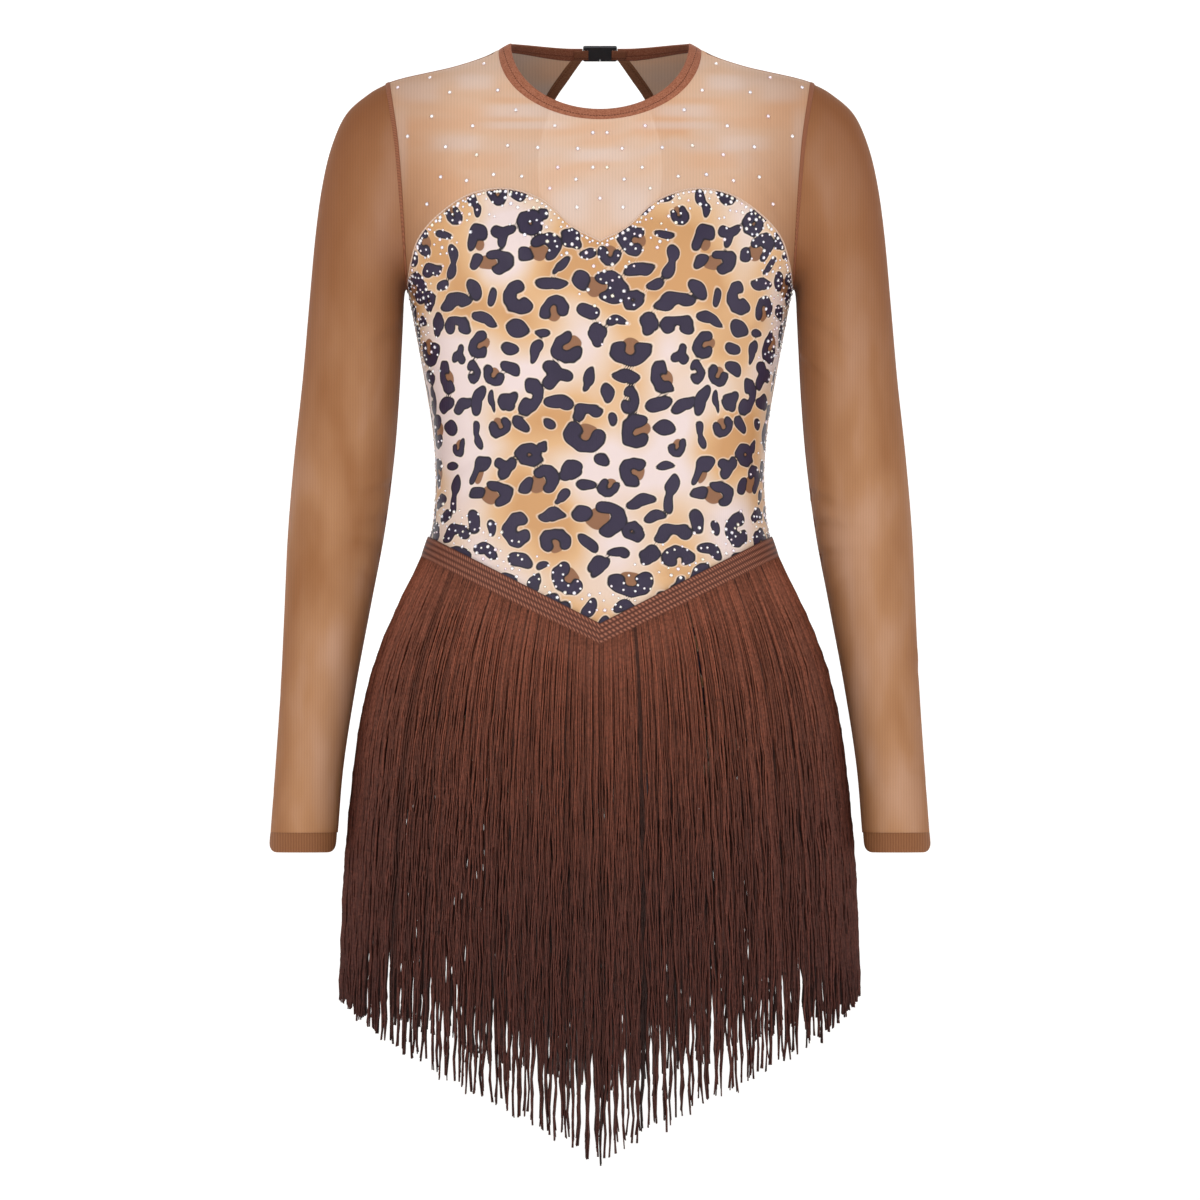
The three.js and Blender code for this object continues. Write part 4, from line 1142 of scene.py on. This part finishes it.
def yoke_mesh(name, shades):
    """Nylon power mesh in skin tan, knitted and steamed: sheer, with fine upright ribs and soft patches."""
    mesh = Finish(name)
    # Soft patches, wider than they are tall, where the mesh lies in one or two layers of light.
    squashed = mesh.mapped(mesh.place, Scale=(7.0, 7.0, 17.0))
    patches = mesh.noise(1.0, 2.0, squashed, Roughness=0.45, Distortion=0.8)
    tan = mesh.ramp(patches, (0.34, shades[0]), (0.5, shades[1]), (0.68, shades[2]))
    warm = mesh.blend(mesh.sum("MULTIPLY", mesh.mark("orange"), 0.5), tan, shades[0])
    # The pale patches: mottling of the mesh, and painted highlights below the neckline.
    cool = mesh.blend(mesh.sum("MULTIPLY", mesh.mark("pale"), 0.55), warm, shades[3])
    # Painted shade: the tan darkens towards the armhole.
    deep = mesh.blend(mesh.mark("deeper"), cool, shades[4])
    # The knit's ribs beat 2.4 mm apart where two layers lie together.
    ribs = mesh.wave(130.0, 0.4, detail=1.0)
    ribbed = mesh.blend(1.0, deep, mesh.ranged(ribs, 0.0, 1.0, 0.955, 1.03), "MULTIPLY")
    return mesh.done(ribbed, 0.75, (ribs, 0.12, 0.0003), specular=0.2, Alpha=0.955)


def sleeve_mesh():
    """The same power mesh over nothing but air, so browner: finely ribbed, and cloudy where it bunches."""
    mesh = Finish("sleeve_power_mesh")
    streaks = mesh.noise(1.0, 2.5, mesh.mapped(mesh.place, Scale=(22.0, 22.0, 8.0)))
    brown = mesh.ramp(streaks, (0.32, "#9b673e"), (0.5, "#b07f59"), (0.68, "#c1967a"))
    # The cap is coloured darker, and the sides, where the tube turns away, get painted shade.
    cap = mesh.ranged(mesh.part(mesh.place, "Z"), -0.34, -0.16, 0.0, 0.55)
    side = mesh.sum("MULTIPLY", mesh.mark("turned"), 0.6)
    shaded = mesh.blend(mesh.sum("ADD", cap, side, clamp=True), brown, "#87522d")
    ribs = mesh.wave(150.0, 0.8, detail=1.0)
    ribbed = mesh.blend(1.0, shaded, mesh.ranged(ribs, 0.0, 1.0, 0.95, 1.04), "MULTIPLY")
    return mesh.done(ribbed, 0.68, (ribs, 0.12, 0.0003), specular=0.2, Alpha=0.92)


def stitched(cloth, colour, darker, row, length, thick):
    """A cloth colour with one row of stitches, each of the given length, at that place across a strip."""
    along = cloth.sum("FRACT", cloth.sum("MULTIPLY", cloth.part(cloth.cut(), "X"), 1 / (length * MM)))
    on = cloth.sum("LESS_THAN", along, 0.72)
    away = cloth.sum("ABSOLUTE", cloth.sum("SUBTRACT", cloth.part(cloth.cut(), "Y"), row * MM))
    near = cloth.sum("LESS_THAN", away, thick * MM / 2)
    thread = cloth.sum("MULTIPLY", on, near)
    return cloth.blend(thread, colour, darker), thread


def binding(name, low, high, thread):
    """Folded elastic binding of nylon and elastane: matt and finely pebbled, with a darker stitch line."""
    elastic = Finish(name)
    grain = elastic.noise(900.0, 2.0)
    colour = elastic.ramp(grain, (0.35, low), (0.65, high))
    # Painted shade: the part behind the neck is darkened towards the thread's colour, for the garment's own
    # shade.
    behind = elastic.ranged(elastic.part(elastic.place, "Y"), 0.0, 0.02, 0.0, 0.45)
    shaded_behind = elastic.blend(behind, colour, thread)
    seamed, stitch = stitched(elastic, shaded_behind, thread, row=6.6, length=2.0, thick=0.6)
    return elastic.done(seamed, 0.8, (elastic.sum("SUBTRACT", grain, stitch), 0.4, 0.0004), specular=0.25)


def cuff_mesh():
    """The sleeve's mesh turned in and doubled, so darker, with the hem's stitch line near its top."""
    mesh = Finish("cuff_doubled_mesh")
    ribs = mesh.wave(150.0, 0.8)
    colour = mesh.ramp(ribs, (0.0, "#7d4f32"), (1.0, "#8d5d3c"))
    seamed, stitch = stitched(mesh, colour, "#6f4630", row=1.6, length=2.6, thick=0.8)
    return mesh.done(seamed, 0.7, (mesh.sum("SUBTRACT", ribs, stitch), 0.25, 0.0004), specular=0.2)


def seam_thread(name, low, high):
    """Overlocked seam in polyester thread: matt, with slanting loops 1.2 mm apart."""
    thread = Finish(name)
    loops = thread.wave(260.0, 0.4, direction="DIAGONAL")
    colour = thread.ramp(loops, (0.0, low), (1.0, high))
    return thread.done(colour, 0.75, (loops, 0.4, 0.0003))


def woven_tape():
    """Fringe header woven of rayon cord: four raised ribs along it, tied by slanting stitches."""
    header = Finish("fringe_header_tape")
    # Four ribs over the tape's 17 mm, and stitches 2.2 mm apart.
    ribs = header.wave(1.0, 0.2, vector=header.mapped(header.cut(), Scale=(1.0, 74.0, 1.0)), direction="Y")
    ties = header.wave(145.0, 0.5, vector=header.mapped(header.cut(), Rotation=(0.0, 0.0, 0.5)))
    both = header.sum("MULTIPLY", ribs, ties)
    colour = header.ramp(both, (0.0, "#542e23"), (0.35, "#854f3d"), (1.0, "#b0745c"))
    return header.done(colour, 0.65, (both, 0.8, 0.0009), specular=0.25)


def chainette():
    """Chainette fringe of knitted rayon cord: dark brown, softly glossy, with lighter and darker threads."""
    cord = Finish("chainette_fringe")
    browns = ((0.0, "#824a36"), (0.25, "#6b3b2b"), (0.55, "#552e24"), (1.0, "#45231d"))
    # Darker from the tape down to the ends: partly the cord's own colour, partly painted shade on the lower
    # fringe.
    lower = cord.ramp(cord.mark("fall"), *browns)
    # Each thread's tone: random, with painted shade on the sunk threads and those lying behind.
    bright = cord.ranged(cord.mark("tone"), 0.0, 1.0, 0.2, 1.6)
    streaked = cord.blend(1.0, lower, bright, "MULTIPLY")
    # The chain's loops, about 2 mm apart, catch the light unevenly.
    loops = cord.noise(480.0, 2.0)
    toned = cord.blend(1.0, streaked, cord.ranged(loops, 0.3, 0.7, 0.68, 1.3), "MULTIPLY")
    return cord.done(toned, 0.55, (loops, 0.35, 0.0004), specular=0.22)


def crystal():
    """Foil-backed cut glass with a rainbow coat: mirror bright, each stone a little pinker or bluer."""
    stone = Finish("rainbow_crystal")
    tints = ((0.0, "#fbe9f4"), (0.35, "#ffffff"), (0.7, "#f3f1ff"), (1.0, "#f9f3de"))
    coat = {"Metallic": 0.55, "Coat Weight": 0.8, "Coat Roughness": 0.03}
    return stone.done(stone.ramp(stone.mark("tone"), *tints), 0.08, specular=0.8, **coat)


def clasp_plastic():
    """Injection-moulded acetal: near black, a faint grain, and a soft gloss on its rounded edges."""
    plastic = Finish("moulded_black_acetal")
    grain = plastic.noise(1400.0, 2.0)
    tint = plastic.ramp(grain, (0.3, "#1f2024"), (0.7, "#292a2f"))
    return plastic.done(tint, plastic.ranged(grain, 0.0, 1.0, 0.3, 0.46), (grain, 0.08, 0.0001))


# The bodysuit's pieces.
SIDES = ((FRONT, "front"), (BACK, "back"))
HANDS = (("left", 1), ("right", -1))

satin, reverse = satin_print(), satin_reverse()
front_shades = ("#d5a582", "#d5b095", "#d1b6a6", "#d8c3b9", "#9f7150")
# Painted shade: the back yoke's tans are darker than the front's, for the shade inside the garment.
back_painted_shade_tans = ("#c9956a", "#c29a7a", "#b79c8b", "#bba193", "#9a6c47")
front_mesh = yoke_mesh("front_yoke_power_mesh", front_shades)
shaded_back_mesh = yoke_mesh("back_yoke_power_mesh_painted_shade", back_painted_shade_tans)
sleeve_cloth, cuff_cloth = sleeve_mesh(), cuff_mesh()
neck_elastic = binding("neck_elastic_binding", "#8a5038", "#a86c52", "#54291b")
keyhole_elastic = binding("keyhole_elastic_binding", "#7f543b", "#98694d", "#5f3d2a")
brown_thread = seam_thread("brown_seam_thread", "#7a452b", "#945a3b")
blush_thread = seam_thread("blush_seam_thread", "#c9a892", "#dcc0ad")
tab_elastic = binding("tab_elastic", "#7c4a34", "#935a40", "#4a2a1c")
dark_elastic = binding("dark_elastic_loop", "#241c1a", "#332724", "#161110")
header, chain, glass, acetal = woven_tape(), chainette(), crystal(), clasp_plastic()


for side, word in SIDES:
    name = f"{word}_bodice"
    body = piece(f"{name}_satin", bodice(side, FACE_GRID), satin, name)
    lining = piece(f"{name}_reverse", bodice(side, REVERSE_GRID, SATIN_THICK), reverse)

front = piece("front_yoke_mesh", front_yoke(), front_mesh, "front_yoke")
back = piece("back_yoke_mesh", back_yoke(), shaded_back_mesh, "back_yoke")

for name, strip_mesh, elastic in (
    ("neck_binding", neck_binding(), neck_elastic),
    ("keyhole_binding", keyhole_binding(), keyhole_elastic),
):
    piece(f"{name}_strip", strip_mesh, elastic, name)

for suffix, mirror in HANDS:
    arm = mirrored(sleeve(SLEEVE_CREASES[suffix]), mirror)
    arm = piece(f"sleeve_{suffix}_mesh", arm, sleeve_cloth, f"sleeve_{suffix}")
    hem = piece(f"cuff_{suffix}_hem", mirrored(cuff(), mirror), cuff_cloth, f"cuff_{suffix}")


# Seams: narrow overlocked ridges where the pieces join.
def armhole_seam(c):
    return armhole_loop(2 * np.pi * c)


def shoulder_ridge(c):
    x, z = shoulder_seam(c)
    points, normals = skin(x, z, FRONT)
    points[:, 1] = 0
    return points, unit(normals * (1, 0, 1) + (0, 0, 0.3))


def underarm_seam(c):
    turn = np.full_like(c, np.pi)
    points = sleeve_point(c * SLEEVE_END, turn)
    return points, unit((points - sleeve_point(c * SLEEVE_END, 0 * turn)) * (1, 0, 1))


def side_seam(c):
    z = mix(ARMPIT - 2, LEG["top"], c)
    points, normals = skin(half_width(z), z, FRONT)
    points[:, 1] = 0
    return points, normals


def leg_hem(side):
    return lambda c: skin_round(*leg_edge(np.clip(c, 0, 1), side), side)


def sweetheart_seam(c):
    x, z = sweetheart(np.abs(2 * c - 1))
    return skin(np.sign(2 * c - 1) * x, z, FRONT)


def back_top_seam(c):
    turn = 2 * c - 1
    return skin_round(turn, back_top(np.abs(turn)), BACK)


# Each seam on one side of the body: its path, width, thickness, steps, whether it closes, and its thread.
SIDE_SEAMS = (
    ("armhole_seam", armhole_seam, 3.8, 1.6, 120, True, brown_thread),
    ("shoulder_seam", shoulder_ridge, 2.4, 1.0, 40, False, brown_thread),
    ("underarm_seam", underarm_seam, 2.2, 1.0, 160, False, brown_thread),
    ("side_seam", side_seam, 1.4, 0.9, 90, False, blush_thread),
    ("front_leg_hem", leg_hem(FRONT), 3.4, 1.8, 90, False, blush_thread),
    ("back_leg_hem", leg_hem(BACK), 3.4, 1.8, 90, False, blush_thread),
)
SEAM_AROUND = 10  # sides of each seam's section
for suffix, mirror in HANDS:
    for name, path, wide, thick, steps, closed, thread in SIDE_SEAMS:
        ridge = strip(steps, beside(path, wide), thick, SEAM_AROUND, closed=closed)
        piece(f"{name}_{suffix}", mirrored(ridge, mirror), thread)
for name, path in (("sweetheart_seam", sweetheart_seam), ("back_top_seam", back_top_seam)):
    piece(name, strip(200, beside(path, 1.3), 1.1, SEAM_AROUND), blush_thread)

# The tape and its fringe, before and behind.
for side, word in SIDES:
    band = piece(f"fringe_tape_{word}", tape(side), header, f"fringe_{word}")
    strands = piece(f"fringe_strands_{word}", fringe(side), chain)

# The crystals: scattered over both bodices, in a row along the sweetheart, and set one by one on the yoke.
for side, word, seed in ((FRONT, "front", 31), (BACK, "back", 32)):
    stones = crystals(*scattered(side), side, BODICE_CREASES, 0.1, seed)
    piece(f"{word}_bodice_crystals", stones, glass)
piece("sweetheart_crystals", crystals(*edge_row(), FRONT, BODICE_CREASES, 0.2, 33), glass)
yoke_x, yoke_z = np.array([*YOKE_STONES, *((-x, z) for x, z in YOKE_STONES), CENTRE_STONE], float).T
stones = crystals(yoke_x, yoke_z, FRONT, YOKE_CREASES, 0.1, 34, large_share=1)
piece("yoke_crystals", stones, glass)

# The clasp keeps its solids, and gets its moulded finish, its hook and the elastic through its slots.
CLASP_MIDDLE = -5.4
CLASP_AROUND = 12  # sides of each small strip's section


def clasp_path(x0, z0, x1, z1, out):
    """A straight path over the clasp, from one place to another, at a distance outside its middle plane."""
    origin, normal = skin(np.zeros(1), np.full(1, CLASP_MIDDLE), BACK)
    up = unit(np.cross(normal[0], (1.0, 0, 0)))
    up = up * np.sign(up[2])

    def path(c):
        over, rise = mix(x0, x1, c)[:, None], mix(z0, z1, c)[:, None]
        points = origin[0] + over * np.array((1.0, 0, 0)) + rise * up + out * normal[0]
        return points, np.broadcast_to(normal[0], points.shape)

    return path


neck_ends = []
for suffix, mirror in HANDS:
    loop = strip(16, beside(clasp_path(10.8, -4, 10.8, 4, 0), 2.3), 2.6, CLASP_AROUND)
    tab = strip(24, beside(clasp_path(9.1, -0.4, 20.5, -0.4, -2.15), 8.6), 1.1, CLASP_AROUND)
    neck_ends += [
        piece(f"clasp_loop_{suffix}", mirrored(loop, mirror), dark_elastic),
        piece(f"clasp_tab_{suffix}", mirrored(tab, mirror), tab_elastic),
    ]
hook = strip(24, beside(clasp_path(-5.5, -0.5, 5.5, -0.5, 2.1), 12.0), 1.0, CLASP_AROUND)
piece("clasp_hook", hook, acetal)
for suffix, _ in HANDS:
    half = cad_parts[f"clasp_{suffix}"]
    half.data.materials.clear()
    half.data.materials.append(acetal)


# The studio: a pale floor that curves up far away, soft lamps, and the camera at the photograph's angle.
STUDIO = {"floor": -1.06, "flat": 22.0, "bend": 5.0, "wall": 11.0}
CAMERA = {"away": 16.0, "height": -0.4337, "seen": 0.938}


def studio_white():
    """Matt painted plywood, which glows faintly so that it stays white to its far edge."""
    paint = Finish("studio_white")
    paint.material.cycles.emission_sampling = "NONE"
    glow = {"Emission Color": "#ffffff", "Emission Strength": 0.36}
    return paint.done("#f6f5f3", 0.9, **glow)


def studio():
    floor = bmesh.new()
    height, flat, bend, wall = (STUDIO[name] for name in ("floor", "flat", "bend", "wall"))
    profile = [(0.0, height), (flat, height)]
    for k in range(1, 9):
        angle = k * math.pi / 16
        profile.append((flat + bend * math.sin(angle), height + bend * (1 - math.cos(angle))))
    profile.append((flat + bend, height + wall))
    corners = [floor.verts.new((away, 0, z)) for away, z in profile]
    edges = [floor.edges.new(pair) for pair in zip(corners, corners[1:])]
    bmesh.ops.spin(floor, geom=corners + edges, cent=(0, 0, 0), axis=(0, 0, 1), angle=2 * math.pi, steps=64,
                   use_merge=True)
    bmesh.ops.remove_doubles(floor, verts=floor.verts, dist=0.001)
    mesh = new_mesh(floor)
    mesh.materials.append(studio_white())
    mesh.shade_smooth()
    backdrop = bpy.data.objects.new("studio_floor", mesh)
    bpy.context.scene.collection.objects.link(backdrop)

    world = bpy.data.worlds.new("studio_air")
    world.use_nodes = True
    world.node_tree.nodes["Background"].inputs["Color"].default_value = linear("#ffffff")
    world.node_tree.nodes["Background"].inputs["Strength"].default_value = 0.62
    bpy.context.scene.world = world


def lamp(name, place, size, power):
    light = bpy.data.lights.new(name, "AREA")
    light.shape = "SQUARE"
    light.size = size
    light.energy = power
    made = bpy.data.objects.new(name, light)
    made.location = place
    aim = Vector((0, 0, CAMERA["height"])) - Vector(place)
    made.rotation_mode = "QUATERNION"
    made.rotation_quaternion = aim.to_track_quat("-Z", "Y")
    made.visible_camera = False
    bpy.context.scene.collection.objects.link(made)


def camera():
    lens = bpy.data.cameras.new("camera")
    lens.sensor_width = 36
    lens.lens = lens.sensor_width * CAMERA["away"] / CAMERA["seen"]
    lens.clip_end = 100
    made = bpy.data.objects.new("camera", lens)
    made.location = (0, -CAMERA["away"], CAMERA["height"])
    made.rotation_euler = (math.pi / 2, 0, 0)
    bpy.context.scene.collection.objects.link(made)
    bpy.context.scene.camera = made


studio()
lamp("key_lamp", (-2.2, -4.2, 1.6), 1.6, 26)
lamp("fill_lamp", (2.6, -4.0, 0.6), 2.0, 16)
lamp("top_lamp", (0.0, -0.6, 3.4), 1.8, 20)
lamp("back_lamp", (0.4, 4.4, 1.4), 2.0, 26)
camera()
bpy.context.scene.view_settings.view_transform = "Standard"
bpy.context.scene.view_settings.look = "None"
